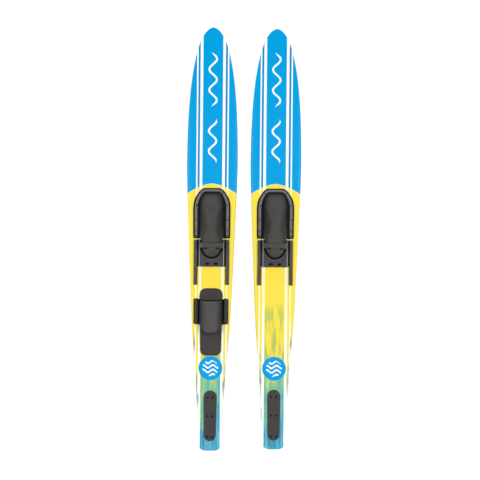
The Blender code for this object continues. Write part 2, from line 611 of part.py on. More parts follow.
def make_rear_toe_piece(prefix, ski):
    """Footpad, rubber strap and the two clamps of the rear toe piece."""
    deck = DECK_THICKNESS
    front, rear = PAD_CORNER_FRONT, PAD_CORNER_REAR
    right = [(0.0, PAD_FRONT)] + arc((PAD_HALF_FRONT - front, PAD_FRONT + front), front, -90, 0, 5)
    right += arc((PAD_HALF_REAR - rear, PAD_REAR - rear), rear, 0, 90, 5) + [(0.0, PAD_REAR)]
    pad = slab(mirrored(right), deck + GAP, deck + PAD_HEIGHT, PAD_CHAMFER)
    new_object(prefix + "rear_footpad", pad, "foam", ski)

    base = deck + GAP + FLANGE
    rows = 6
    sheet = []
    for j in range(rows + 1):
        t = j / rows
        side = STRAP_SIDE_FRONT + (STRAP_SIDE_REAR - STRAP_SIDE_FRONT) * t
        crown = STRAP_CROWN_FRONT + (STRAP_CROWN_REAR - STRAP_CROWN_FRONT) * t
        rise = STRAP_RISE_FRONT + (STRAP_RISE_REAR - STRAP_RISE_FRONT) * t
        sheet.append(arch_points((STRAP_EDGE, side), (STRAP_FOOT, side), (crown, rise), base,
                                 STRAP_LEAN, steps=9, squareness=STRAP_SQUARENESS))
    strap = new_object(prefix + "rear_strap", hood(sheet), "black_rubber", ski)
    thicken(strap, FLANGE, -1.0)

    corners = [(REAR_CLAMP_OUTER, REAR_CLAMP_FRONT, -90), (REAR_CLAMP_OUTER, REAR_CLAMP_REAR, 0),
               (REAR_CLAMP_INNER, REAR_CLAMP_REAR, 90), (REAR_CLAMP_INNER, REAR_CLAMP_FRONT, 180)]
    clamp = []
    for x, s, start in corners:
        radius = CLAMP_CORNER_OUTER if x == REAR_CLAMP_OUTER else CLAMP_CORNER_INNER
        centre = (x - math.copysign(radius, x - 0.5 * (REAR_CLAMP_INNER + REAR_CLAMP_OUTER)),
                  s - math.copysign(radius, s - 0.5 * (REAR_CLAMP_FRONT + REAR_CLAMP_REAR)))
        clamp += arc(centre, radius, start, start + 90, 3)
    for side, plan in (("right", clamp), ("left", [(-x, s) for x, s in reversed(clamp)])):
        body = slab(plan, base + GAP, deck + REAR_CLAMP_TOP, REAR_CLAMP_CHAMFER)
        new_object(prefix + "rear_clamp_" + side, body, "black_plastic", ski)


def tail_outline(shift):
    """The tail plate's long oval, which the fin's flange under the board shares."""
    front = TAIL_PLATE_FRONT + TAIL_PLATE_HALF_FRONT + shift
    rear = TAIL_PLATE_REAR - TAIL_PLATE_HALF_REAR + shift
    right = arc((0.0, front), TAIL_PLATE_HALF_FRONT, -90, 0, 7)
    right += arc((0.0, rear), TAIL_PLATE_HALF_REAR, 0, 90, 7)
    right[0], right[-1] = (0.0, right[0][1]), (0.0, right[-1][1])
    return mirrored(right)


def make_screw_mesh():
    """A flat-headed machine screw with a hexagon socket, its head's top at the origin."""
    sides = 12

    def ring(radius, height, hexagon=False):
        points = []
        for k in range(sides):
            angle = 2.0 * math.pi * k / sides
            from_flat = (angle + math.pi / 6) % (math.pi / 3) - math.pi / 6
            reach = radius / math.cos(from_flat) if hexagon else radius
            points.append((reach * math.cos(angle), reach * math.sin(angle), height))
        return points

    rings = [ring(SHANK_RADIUS, -SCREW_LENGTH), ring(SHANK_RADIUS, -HEAD_HEIGHT),
             ring(HEAD_RADIUS, -HEAD_HEIGHT), ring(HEAD_RADIUS, -HEAD_CHAMFER),
             ring(HEAD_RADIUS - HEAD_CHAMFER, 0.0),
             ring(SOCKET_RADIUS, 0.0, True), ring(SOCKET_RADIUS, -SOCKET_DEPTH, True)]
    bm = loft(bmesh.new(), rings)
    bmesh.ops.recalc_face_normals(bm, faces=bm.faces)
    mesh = bpy.data.meshes.new("tail_screw")
    bm.to_mesh(mesh)
    bm.free()
    return mesh


def make_tail(prefix, ski, tail_deck, shift, screw_mesh, cutters):
    """Tail plate, its six screws and the fin under the board."""
    plan = [(x, s - TAIL_TAPER_START) for x, s in tail_outline(shift)]
    body = slab(plan, GAP, GAP + PLATE, PLATE_CHAMFER)
    plate = new_object(prefix + "tail_plate", body, "black_plastic", tail_deck)
    combine(plate, cutters["holes"], "DIFFERENCE")
    combine(plate, cutters["heads"], "DIFFERENCE")
    for row, station in enumerate(SCREW_STATIONS, 1):
        for side, sign in (("left", -1.0), ("right", 1.0)):
            name = prefix + "tail_screw_" + side + "_" + str(row)
            screw = new_object(name, screw_mesh, "steel", tail_deck)
            screw.location = (sign * SCREW_OFFSET, TAIL_TAPER_START - station - shift,
                              GAP + PLATE - HEAD_SINK)

    flange = slab(tail_outline(shift), -GAP - FIN_FLANGE, -GAP)
    fin = new_object(prefix + "fin", flange, "black_plastic", ski)
    combine(fin, cutters["holes"], "DIFFERENCE")
    side_view = [(station + shift, depth if lift is None else floor_height(station + shift) + lift)
                 for station, depth, lift in BLADE_SIDE_VIEW]
    rings = [[(x, -s, z) for s, z in side_view] for x in (-BLADE_HALF, BLADE_HALF)]
    blade = new_cutter(prefix + "fin_blade", loft(bmesh.new(), rings), ski)
    combine(fin, blade, "UNION")


def make_tail_cutters(prefix, tail_deck, shift):
    """Bores for the tail screws, and the counterbores for their heads."""
    places = [(sign * SCREW_OFFSET, TAIL_TAPER_START - station - shift)
              for station in SCREW_STATIONS for sign in (-1.0, 1.0)]
    top = PLATE + CUT
    seat = GAP + PLATE - HEAD_HEIGHT - HEAD_CLEARANCE
    holes = join([cylinder(x, y, -BORE_DEPTH, top, SCREW_HOLE, 8) for x, y in places])
    heads = join([cylinder(x, y, seat, top, HEAD_RADIUS + HEAD_CLEARANCE, 12) for x, y in places])
    return {"holes": new_cutter(prefix + "screw_holes", holes, tail_deck),
            "heads": new_cutter(prefix + "head_holes", heads, tail_deck)}


def make_ski(name, x, tip, length, tail_shift, screw_mesh):
    """One complete ski, pitched so that belly and fin both touch the floor."""
    prefix = name + "_"
    ski = new_empty(name + "_ski")
    ski.rotation_euler = (-PITCH, 0.0, 0.0)
    rest = ski.rotation_euler.to_matrix() @ Vector((0.0, -BELLY_REAR, base_height(BELLY_REAR)))
    ski.location = (x, 0.5 * (SKI_LENGTH * math.cos(PITCH) - TIP_REACH), -rest.z)

    tail_deck = new_empty(prefix + "tail_deck", ski, (0.0, -TAIL_TAPER_START, DECK_THICKNESS))
    tail_deck.rotation_euler = (TAIL_SLOPE, 0.0, 0.0)
    tail_deck["ski_place"] = (0.0, 0.0, 0.0)      # its pieces are drawn in its own tilted frame
    cutters = make_tail_cutters(prefix, tail_deck, tail_shift)

    slider = new_empty(prefix + "heel_slide", ski, (0.0, -SLIDER_FRONT, 0.0))

    make_board(prefix, ski, tip, length, cutters)
    make_toe(prefix, ski)
    make_rails(prefix, ski)
    make_heel(prefix, slider)
    make_latches(prefix, slider)
    make_tail(prefix, ski, tail_deck, tail_shift, screw_mesh, cutters)
    return prefix, ski


def main():
    for obj in list(bpy.data.objects):
        bpy.data.objects.remove(obj, do_unlink=True)
    screw_mesh = make_screw_mesh()
    left_prefix, left_ski = make_ski("left", -0.5 * SKI_SPACING, 0.0, SKI_LENGTH, 0.0, screw_mesh)
    make_rear_toe_piece(left_prefix, left_ski)
    make_ski("right", 0.5 * SKI_SPACING, RIGHT_TIP, RIGHT_LENGTH, RIGHT_TAIL_SHIFT, screw_mesh)


main()
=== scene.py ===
"""A pair of combination water skis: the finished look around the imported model.

Each ski's pieces are drawn in that ski's own frame and then moved to where the model has it: x runs
across, the station s runs aft from the left ski's tip, and z rises from the flat base. All lengths
are metres. Heights of binding parts are given above the deck.
"""
import math

import bmesh
import bpy
from mathutils import Matrix, Vector, noise
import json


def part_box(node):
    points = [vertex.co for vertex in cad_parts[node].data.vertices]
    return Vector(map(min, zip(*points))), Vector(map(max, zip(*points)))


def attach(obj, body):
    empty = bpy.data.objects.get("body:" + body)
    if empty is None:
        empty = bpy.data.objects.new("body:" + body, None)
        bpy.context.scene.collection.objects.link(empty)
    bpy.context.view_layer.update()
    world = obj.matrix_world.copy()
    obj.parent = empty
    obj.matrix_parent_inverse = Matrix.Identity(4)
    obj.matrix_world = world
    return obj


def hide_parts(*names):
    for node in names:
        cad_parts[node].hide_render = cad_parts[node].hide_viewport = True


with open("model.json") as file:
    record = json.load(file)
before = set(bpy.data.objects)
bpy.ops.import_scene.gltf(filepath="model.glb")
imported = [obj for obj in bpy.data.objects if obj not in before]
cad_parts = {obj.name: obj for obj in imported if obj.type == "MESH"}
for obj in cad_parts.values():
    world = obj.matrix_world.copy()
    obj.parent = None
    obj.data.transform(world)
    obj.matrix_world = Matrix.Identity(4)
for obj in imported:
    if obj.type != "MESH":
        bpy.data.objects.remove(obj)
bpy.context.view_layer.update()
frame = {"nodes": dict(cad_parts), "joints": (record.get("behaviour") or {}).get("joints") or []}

# ---------------- design values shared with the model

TOE_OUTLINE = [(0.0, 0.641), (0.020, 0.641), (0.038, 0.6425), (0.057, 0.663), (0.071, 0.690),
               (0.075, 0.717), (0.0748, 0.760), (0.0744, 0.800), (0.074, 0.843)]
TOE_FOOTPRINT = [(0.0, 0.6585), (0.0165, 0.6585), (0.031, 0.6605), (0.0415, 0.674), (0.0475, 0.694),
                 (0.0500, 0.717), (0.0500, 0.760), (0.0492, 0.800), (0.0480, 0.843)]
TOE_RIDGE = [(0.696, 0.0330), (0.700, 0.0345), (0.707, 0.0365), (0.718, 0.0400), (0.734, 0.0460),
             (0.755, 0.0530), (0.790, 0.0630), (0.826, 0.0720), (0.865, 0.0790)]
TOE_BED = [(0.0, 0.664), (0.016, 0.664), (0.029, 0.669), (0.038, 0.680), (0.0435, 0.697),
           (0.0450, 0.720), (0.0450, 0.838), (0.0430, 0.841)]
TOE_SEAT, HEEL_SEAT = 0.0036, 0.0037  # the toe and heel pieces lie this far above the deck
TOE_TENTED, TOE_BOXED = (4.2, 5.6), (6.3, 7.9)  # its section changes over these outline points
TOE_LEAN, FOLD_DEPTH = 5.4, 0.0016  # how late its arches turn forward, and its side folds' depth
TOE_ROLL = (0.0095, 0.0045)  # the toe piece's rear edge turns down: over this length, by this much
BED_TOP_TOE, BED_TOP_HEEL, BED_CROWN = 0.0082, 0.0078, 0.0009  # the footbeds' tops and crown
BED_ROLL_TOE, BED_ROLL_HEEL = 0.0016, 0.0014  # roundness of their upper edges
HEEL_BED_INSET, HEEL_BED_FRONT = -0.0045, 0.853
TOE_BASE_CORNER, TOE_BASE_ROLL = 0.006, 0.0006

HEEL_CENTRE, HEEL_HALF, HEEL_DEPTH = 0.868, 0.0446, 0.0582
HEEL_FLANGE, HEEL_FLANGE_INNER, HEEL_FRONT = 0.0048, -0.0105, 0.864
HEEL_MOUTH = 0.0025  # the cover's opening stands this far outside the heel's outline
RIB_OUTER = 0.0496  # the cover's ribs end this far from the centre line
LIP_BELOW_RIB = 0.0017  # the cover's flat top lies this far under its ribs
LIP_HALF, LIP_RISE = 0.0016, 0.0011  # half width and height of the bead round the opening
LIP_SUNK, LIP_REACH = 0.0003, 30  # how deep it is sunk in, and how many points it reaches round
CUP_HALF, CUP_DEPTH = 0.0372, 0.0515  # the heel cup inside its mouth
CUP_CREST, CUP_FALL = 0.0664, 0.25  # its height, and how late its top falls off to the rear
CUP_TURN = (12.0, 70.7)  # its slices run from the back wall to the collar, in degrees of its ellipse
CUP_SLICES, CUP_BULGE, COLLAR_BULGE = 26, 0.0008, 0.0008
COLLAR_HALF, COLLAR_FRONT, COLLAR_REAR, COLLAR_TOP = 0.0474, 0.8640, 0.8838, 0.0684
COLLAR_SHEAR = 0.0016  # the right collar sits this much askew at its ends
SLOT_SPAN, SLOT_LENGTH = (0.0172, 0.0308), 0.0058  # the two pull slots behind the collar, painted near black as painted shade
ARCH_SQUARENESS = 0.50  # of the heel's arches: 1 is round

# cross sections of the rubber, as shares of half width and height
BOXY = [(1.0, 0.0), (0.995, 0.13), (0.975, 0.33), (0.925, 0.55), (0.83, 0.74), (0.66, 0.89),
        (0.36, 0.97), (0.0, 1.0)]
TENTED = [(1.0, 0.0), (0.97, 0.08), (0.91, 0.21), (0.82, 0.40), (0.69, 0.61), (0.52, 0.80),
          (0.32, 0.94), (0.0, 1.0)]
FLANGE = 0.0025  # thickness of the rubber
SECTION_STEPS, FLANGE_STEPS, UPRIGHT_STEPS = 24, 3, 34  # faces across half an arch

STRAP_SEAT, STRAP_FOOT, STRAP_EDGE = 0.0003, 0.0480, 0.068
STRAP_SIDE, STRAP_CROWN, STRAP_RISE = (1.0885, 1.190), (1.0940, 1.227), (0.050, 0.060)
STRAP_LEAN = (2.0, 2.9)  # how squarely its front and rear edges run across before they turn
STRAP_TUCK = 0.090  # length of its flange, hidden under the clamps
STRAP_LINE = 0.0055  # width of the painted shadow along its front edge
STRAP_SLICES = 44
CLAMP_FRONT, CLAMP_REAR, CLAMP_INNER, CLAMP_OUTER = 1.086, 1.190, 0.0508, 0.070
CLAMP_TOP, CLAMP_ROLL = 0.0105, 0.0036
PAD_NOSE = [(0.0, 0.0), (0.018, 0.0002), (0.031, 0.0026), (0.0397, 0.0088), (0.0447, 0.018),
            (0.0465, 0.031)]
PAD_CORNER, PAD_HALF_REAR, PAD_CROWN, PAD_ROLL = 0.024, 0.042, 0.0012, 0.0030

STRIP_INSET, STRIP_HALF = (0.0098, 0.0116), (0.0054, 0.0057)  # at the front and down the sides
STRIP_END, STRIP_RISE, STRIP_THICK = 0.839, 0.0094, 0.003
STRIP_TURN = (0.643, 0.700)  # it goes from its front values to its side values over this run
STRIP_TIP, STRIP_TAPER = 0.004, 0.0035  # its ends are rounded over this length, by this much
SCREW_PLACES = ((0.0425, 0.662), (0.0612, 0.711), (0.0630, 0.768), (0.0632, 0.812), (0.0630, 0.833))
SCREW_RADIUS, SCREW_HEIGHT = 0.0029, 0.0012
FINE_EDGE, PLATE_EDGE, FIN_EDGE = 0.0004, 0.0005, 0.0008  # rounding of the moulded edges
BLADE_EDGE, BLADE_BELOW = 0.0022, -0.012  # the fin's blade is rounder, below this height

EDGE_ROUND, LOWER_ROUND = 0.009, 0.005  # of the board's edge, above and below its widest line
WAIST = 0.42  # height of the board's widest line, as a share of its thickness
TUNNEL_EDGE, TUNNEL_WALL = 0.62, 0.45  # its wall runs between these shares of half width
RING_SPACING = 0.010

# Graphics, by station and distance from the centre line
ARCH_FRONT, ARCH_RISE, ARCH_REACH, ARCH_POWER = 0.6235, 0.0395, 0.098, 1.65
WIDE_STRIPE, THIN_STRIPE = (0.0400, 0.0508), (0.0590, 0.0646)
WAVE_RUNS = ((0.103, 0.308), (0.369, 0.533))
WAVE_SWING, WAVE_LENGTH, WAVE_WIDTH = 0.0150, 0.0820, 0.0080
BADGE_STATION, BADGE_RADIUS, BADGE_FIELD = 1.366, 0.0480, 0.0320
BADGE_WAVE, BADGE_SWING, BADGE_PITCH, BADGE_OFFSET = 0.040, 0.0055, 0.009, 0.007
PAINT_CLOSED = 1.52  # the brush strokes have closed over the yellow by this station
TEAL_RUN, TEAL_LEAN = (1.50, 1.66), (1.42, 1.56)  # they turn to teal, sooner on their right
STROKES_FULL = 1.42  # their full unevenness starts here
OLIVE_TO_GREEN, HAIR_LINES = (1.30, 1.44), (1.40, 1.60)
BANDS_YELLOW, BANDS_WHITE = (1.40, 1.50), (1.42, 1.52)  # past the wide stripes
CREAM_TO_WHITE = (1.10, 1.30)
TIP_TO_PALE = (0.03, 0.16)
GREY_STREAKS = (1.22, 1.56)
LINE_SOFTNESS = 0.0005

# Stage: lengths in metres, angles in degrees
FLOOR_HEIGHT, FLOOR_GLOW = -0.0006, 0.60
SKY_STRENGTH, SUN_STRENGTH, SUN_WIDTH, SUN_TIP, SUN_LEAN = 0.26, 1.52, 22.0, -6.0, 22.0
SEEN_WIDTH, SEEN_HEIGHT, VIEW_CENTRE, VIEW_TURN = 1.932, 0.02, (-0.0138, -0.0025), 0.55

HALF_SPACING = 0.128  # each ski's centre line stands this far from the middle of the pair
STEEP_SHADE = 0.5  # painted shade: colour of rubber's steep sides, as a share of its darker shade


# ---------------- the skis' frames, read off the model

class Ski:
    """One ski's frame. Its matrix turns (x, -station, z) into a point of the scene."""

    def __init__(self, name):
        self.name = name
        self.body = name + "_ski"
        self.slider = name + "_heel_slider"
        slide = next(j for j in frame["joints"] if j["name"] == name + "_heel_slide")
        across = Vector((1.0, 0.0, 0.0))
        self.aft = Vector(slide["axis"]).normalized()
        self.up = self.aft.cross(across)
        low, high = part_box(name + "_board")
        datum = [v.co for v in frame["nodes"]["left_board"].data.vertices]
        tip = min(self.aft.dot(p) for p in datum)
        base = min(self.up.dot(p) for p in datum if self.aft.dot(p) - tip > 0.7)
        self.origin = self.aft * tip + self.up * base
        self.origin.x = 0.5 * (low.x + high.x)
        self.matrix = Matrix((across, -self.aft, self.up)).transposed().to_4x4()
        self.matrix.translation = self.origin
        self.deck = max(z for x, s, z in self.points("board") if 0.8 < s < 1.2)

    def points(self, node):
        """The (x, station, z) of every vertex of one of this ski's CAD nodes."""
        found = []
        for vertex in frame["nodes"][self.name + "_" + node].data.vertices:
            p = vertex.co - self.origin
            found.append((p.x, self.aft.dot(p), self.up.dot(p)))
        return found

    def span(self, node):
        """Lowest and highest (x, station, z) of a CAD node."""
        columns = list(zip(*self.points(node)))
        return [min(c) for c in columns], [max(c) for c in columns]


# ---------------- curves and meshes

def smoothstep(low, high, value):
    t = min(1.0, max(0.0, (value - low) / (high - low)))
    return t * t * (3.0 - 2.0 * t)


def spline(points):
    """A function from 0 to len(points) - 1 that runs smoothly through the points."""
    points = [Vector(p) for p in points]

    def at(position):
        i = min(int(position), len(points) - 2)
        t = position - i
        here, after = points[i], points[i + 1]
        before, beyond = points[max(i - 1, 0)], points[min(i + 2, len(points) - 1)]
        return 0.5 * (2.0 * here + (after - before) * t
                      + (2.0 * before - 5.0 * here + 4.0 * after - beyond) * t * t
                      + (3.0 * here - before - 3.0 * after + beyond) * t ** 3)
    return at


def eased(points, rounds=20, per_span=8):
    """A spline through the points with its tight corners relaxed, over the same range."""
    through = spline(points)
    line = [through(k / per_span) for k in range(per_span * (len(points) - 1) + 1)]
    for _ in range(rounds):
        inner = [0.25 * a + 0.5 * b + 0.25 * c for a, b, c in zip(line, line[1:], line[2:])]
        line = [line[0]] + inner + [line[-1]]
    relaxed = spline(line)
    return lambda position: relaxed(per_span * position)


def arc(centre, radius, start, end, steps):
    angles = [math.radians(start + (end - start) * k / steps) for k in range(steps + 1)]
    return [(centre[0] + radius * math.cos(a), centre[1] + radius * math.sin(a)) for a in angles]


def mirrored(points):
    """The right-hand points, then their mirror images in reverse."""
    return [tuple(p) for p in points] + [(-x, s) for x, s in reversed(points) if x > 0.0]


def sheet_mesh(rows, closed=False):
    """Quads through rows of equally many (x, s, z) points, with doubled points welded."""
    bm = bmesh.new()
    grid = [[bm.verts.new((x, -s, z)) for x, s, z in row] for row in rows]
    for one, two in zip(grid, grid[1:]):
        count = len(one) if closed else len(one) - 1
        for k in range(count):
            n = (k + 1) % len(one)
            bm.faces.new((one[k], one[n], two[n], two[k]))
    if closed:
        bm.faces.new(grid[0])
        bm.faces.new(list(reversed(grid[-1])))
    bmesh.ops.remove_doubles(bm, verts=bm.verts, dist=1e-5)
    bmesh.ops.dissolve_degenerate(bm, edges=bm.edges, dist=1e-6)
    return bm


def upward(bm):
    """Turn an open sheet's faces up."""
    bm.normal_update()
    if sum(face.normal.z * face.calc_area() for face in bm.faces) < 0.0:
        bmesh.ops.reverse_faces(bm, faces=bm.faces)
    return bm


def add_piece(ski, name, bm, body, finishes, stands_for=(), sharp=None):
    """Make the piece from a mesh in the ski's frame, put it in its place and tie it to its body."""
    mesh = bpy.data.meshes.new(ski.name + "_" + name)
    if all(edge.is_manifold for edge in bm.edges):
        bmesh.ops.recalc_face_normals(bm, faces=bm.faces)
    bm.to_mesh(mesh)
    bm.free()
    mesh.transform(ski.matrix)
    for finish in finishes:
        mesh.materials.append(FINISHES[finish])
    mesh.shade_smooth()
    if sharp:
        mesh.set_sharp_from_angle(angle=math.radians(sharp))
    obj = bpy.data.objects.new(mesh.name, mesh)
    bpy.context.scene.collection.objects.link(obj)
    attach(obj, body)
    if stands_for:
        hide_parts(*[ski.name + "_" + node for node in stands_for])
    return obj


def thicken(rubber):
    """Give a rubber surface its thickness and smooth it."""
    solid = rubber.modifiers.new("thickness", "SOLIDIFY")
    solid.thickness = FLANGE
    solid.offset = -1.0
    smooth = rubber.modifiers.new("smooth", "SUBSURF")
    smooth.levels = smooth.render_levels = 1


def ripple(x, s, z, size, seed):
    """Smooth noise from -1 to 1 that changes over about this size."""
    return noise.noise(Vector((x / size + seed, s / size, z / size)))


# ---------------- materials

class Finish:
    """A node material being built round its Principled shader."""

    def __init__(self, name, **sockets):
        self.material = bpy.data.materials.new(name)
        self.material.use_nodes = True
        self.tree = self.material.node_tree
        self.shader = self.tree.nodes["Principled BSDF"]
        for socket, value in sockets.items():
            self.shader.inputs[socket.replace("_", " ")].default_value = value

    def node(self, kind, *inputs, **settings):
        """Add a node, apply its settings and feed its inputs in order. A None input is left alone."""
        made = self.tree.nodes.new("ShaderNode" + kind)
        for setting, value in settings.items():
            setattr(made, setting, value)
        for socket, value in zip(made.inputs, inputs):
            self.feed(socket, value)
        return made

    def feed(self, socket, value):
        if isinstance(value, bpy.types.NodeSocket):
            self.tree.links.new(value, socket)
        elif value is not None:
            socket.default_value = value

    def math(self, operation, *values):
        return self.node("Math", *values, operation=operation).outputs[0]

    def times(self, value, *factors):
        for factor in factors:
            value = self.math("MULTIPLY", value, factor)
        return value

    def plus(self, base, value, share):
        """The base and this share of the value."""
        return self.math("MULTIPLY_ADD", value, share, base)

    def less(self, one, two):
        return self.math("SUBTRACT", one, two)

    def ease(self, value, low, high):
        """0 below low, 1 above high and smooth between."""
        made = self.node("MapRange", value, low, high, interpolation_type="SMOOTHSTEP")
        return made.outputs[0]

    def fall(self, value, low, high):
        """1 below low, 0 above high and smooth between."""
        return self.less(1.0, self.ease(value, low, high))

    def band(self, value, low, high, soft=LINE_SOFTNESS):
        rise = self.ease(value, low - soft, low + soft)
        drop = self.ease(value, high - soft, high + soft)
        return self.less(rise, drop)

    def mix(self, factor, one, two):
        made = self.tree.nodes.new("ShaderNodeMix")
        made.data_type = "RGBA"
        self.feed(made.inputs[0], factor)
        self.feed(made.inputs[6], one)
        self.feed(made.inputs[7], two)
        return made.outputs[2]

    def streaks(self, vector, x, y, detail=2.0, roughness=0.5, z=0.0):
        """Noise with its own scale along each axis."""
        scaled = self.node("VectorMath", vector, (x, y, z), operation="MULTIPLY").outputs[0]
        return self.noise(scaled, 1.0, detail, roughness)

    def noise(self, vector, scale, detail=2.0, roughness=0.5):
        made = self.node("TexNoise")
        self.feed(made.inputs["Vector"], vector)
        made.inputs["Scale"].default_value = scale
        made.inputs["Detail"].default_value = detail
        made.inputs["Roughness"].default_value = roughness
        return made.outputs[0]

    def object_place(self):
        return self.node("TexCoord").outputs["Object"]

    def layout(self):
        return self.node("Attribute", attribute_name="layout").outputs["Vector"]

    def bump(self, height, strength, distance):
        made = self.node("Bump")
        made.inputs["Strength"].default_value = strength
        made.inputs["Distance"].default_value = distance
        self.feed(made.inputs["Height"], height)
        self.feed(self.shader.inputs["Normal"], made.outputs[0])

    def colour(self, value):
        self.feed(self.shader.inputs["Base Color"], value)

    def roughness(self, value):
        self.feed(self.shader.inputs["Roughness"], value)


def linear(red, green, blue):
    """An sRGB colour from 0 to 255 as a linear RGBA tuple."""
    def channel(value):
        value /= 255.0
        return value / 12.92 if value <= 0.04045 else ((value + 0.055) / 1.055) ** 2.4
    return (channel(red), channel(green), channel(blue), 1.0)


BLUE, DEEP_BLUE = linear(0, 153, 214), linear(0, 118, 172)
YELLOW, WARM_YELLOW = linear(238, 216, 74), linear(239, 203, 62)
WHITE, CREAM = linear(244, 245, 244), linear(243, 238, 198)
PAINT_OLIVE, PAINT_GREEN = linear(160, 184, 104), linear(118, 184, 146)
PAINT_TEAL, PAINT_DARK = linear(72, 162, 190), linear(36, 112, 158)
PAINT_LIGHT, STREAK_GREY = linear(150, 206, 206), linear(84, 112, 134)


def make_topsheet(name, paint_start, seed):
    """Printed gloss topsheet, laid out by the mesh's layout: x, station, distance to the rim."""
    f = Finish(name, Roughness=0.24, Specular_IOR_Level=0.10)
    layout = f.layout()
    x, station, rim = f.node("SeparateXYZ", layout).outputs
    aside = f.math("ABSOLUTE", x)

    # brushed paint over the yellow: dabs first, then closing strokes from green to teal at the tail
    place = f.node("VectorMath", layout, (seed, 0.0, 0.0), operation="ADD").outputs[0]
    broad = f.streaks(place, 78.0, 13.0, 1.0)
    fine = f.streaks(place, 260.0, 16.0, 2.0, 0.6)
    hair = f.streaks(place, 230.0, 7.0)
    blots = f.streaks(place, 64.0, 10.0, 1.5)
    depth = f.times(f.ease(station, paint_start + 0.12, PAINT_CLOSED), 0.40)
    depth = f.plus(depth, f.ease(station, *TEAL_RUN), 0.44)
    depth = f.plus(depth, f.times(x, f.ease(station, *TEAL_LEAN)), 3.6)
    wander = f.times(f.less(broad, 0.5), 1.05)
    wander = f.plus(wander, f.less(fine, 0.5), 0.62)
    wander = f.times(wander, f.ease(station, paint_start + 0.08, STROKES_FULL))
    dabs = f.times(f.ease(blots, 0.40, 0.64), f.ease(station, paint_start - 0.02, paint_start + 0.06))
    depth = f.plus(f.math("ADD", depth, wander), dabs, 0.26)
    outside = f.ease(aside, *WIDE_STRIPE)
    depth = f.plus(depth, f.times(outside, f.fall(station, *BANDS_YELLOW)), -0.26)
    paint = f.mix(f.ease(station, *OLIVE_TO_GREEN), PAINT_OLIVE, PAINT_GREEN)
    paint = f.mix(f.ease(depth, 0.48, 0.84), paint, PAINT_TEAL)
    near_tail = f.ease(station, *HAIR_LINES)
    paint = f.mix(f.times(f.ease(hair, 0.50, 0.64), near_tail, 0.60), paint, PAINT_DARK)
    paint = f.mix(f.times(f.fall(hair, 0.34, 0.46), near_tail, 0.55), paint, PAINT_LIGHT)

    # the two fields, divided by an arch with a fine white line
    warm = f.ease(f.streaks(layout, 14.0, 2.0), 0.45, 0.75)
    yellow = f.mix(f.times(warm, 0.35), YELLOW, WARM_YELLOW)
    yellow = f.mix(f.ease(depth, 0.0, 0.42), yellow, paint)
    between = f.band(aside, WIDE_STRIPE[1], THIN_STRIPE[0])
    blue = f.mix(f.times(between, 0.55), BLUE, DEEP_BLUE)
    arch = f.math("POWER", f.math("DIVIDE", aside, ARCH_REACH), ARCH_POWER)
    past = f.less(station, f.plus(ARCH_FRONT, arch, ARCH_RISE))
    on_yellow = f.ease(past, -LINE_SOFTNESS, LINE_SOFTNESS)
    field = f.mix(on_yellow, blue, yellow)
    field = f.mix(f.times(f.band(past, -0.0012, 0.0012), 0.55), field, WHITE)

    # stripes, cream on the yellow
    stripes = f.math("MAXIMUM", f.band(aside, *WIDE_STRIPE), f.band(aside, *THIN_STRIPE))
    white_bands = f.times(outside, f.ease(station, *BANDS_WHITE))
    creamy = f.less(on_yellow, f.ease(station, *CREAM_TO_WHITE))
    printed = f.mix(f.math("MAXIMUM", stripes, white_bands), field, f.mix(creamy, WHITE, CREAM))

    # two runs of waves
    turn = f.times(f.less(station, WAVE_RUNS[0][0]), 2.0 * math.pi / WAVE_LENGTH)
    off_wave = f.math("ABSOLUTE", f.less(x, f.times(f.math("SINE", turn), WAVE_SWING)))
    slope = f.times(f.math("COSINE", turn), WAVE_SWING * 2.0 * math.pi / WAVE_LENGTH)
    off_wave = f.math("DIVIDE", off_wave, f.math("SQRT", f.plus(1.0, slope, slope)))
    runs = f.math("MAXIMUM", *[f.band(station, *run, 0.010) for run in WAVE_RUNS])
    beyond = f.less(f.times(runs, 0.5 * WAVE_WIDTH), off_wave)
    printed = f.mix(f.ease(beyond, 0.0, 0.0006), printed, WHITE)

    # a round badge of waves
    down = f.less(station, BADGE_STATION)
    reach = f.math("SQRT", f.math("ADD", f.times(x, x), f.times(down, down)))
    swell = f.times(f.math("SINE", f.times(x, 2.0 * math.pi / BADGE_WAVE)), BADGE_SWING)
    level = f.math("PINGPONG", f.math("ADD", f.math("ADD", down, swell), BADGE_OFFSET), BADGE_PITCH)
    inside = f.fall(reach, BADGE_FIELD - LINE_SOFTNESS, BADGE_FIELD + LINE_SOFTNESS)
    badge = f.mix(f.times(f.fall(level, 0.0030, 0.0042), inside), BLUE, WHITE)
    disc = f.fall(reach, BADGE_RADIUS - LINE_SOFTNESS, BADGE_RADIUS + LINE_SOFTNESS)
    printed = f.mix(disc, printed, badge)

    # the rim shows the pale core of the laminate, and thin grey streaks run out over it near the tail
    pale = f.times(f.fall(rim, 0.0004, 0.0020), f.ease(station, *TIP_TO_PALE), 0.85)
    printed = f.mix(pale, printed, WHITE)
    edge = f.times(f.band(rim, 0.0020, 0.0100, 0.0012), f.band(station, *GREY_STREAKS, 0.05))
    grey = f.ease(f.plus(f.times(broad, 0.5), hair, 0.5), 0.50, 0.60)
    printed = f.mix(f.times(grey, edge, 0.75), printed, STREAK_GREY)
    f.colour(printed)
    scuffs = f.streaks(layout, 90.0, 900.0, 3.0)
    f.roughness(f.plus(0.20, f.ease(scuffs, 0.45, 0.9), 0.16))
    f.bump(f.noise(f.object_place(), 420.0, 1.0), 0.05, 0.0004)
    return f.material


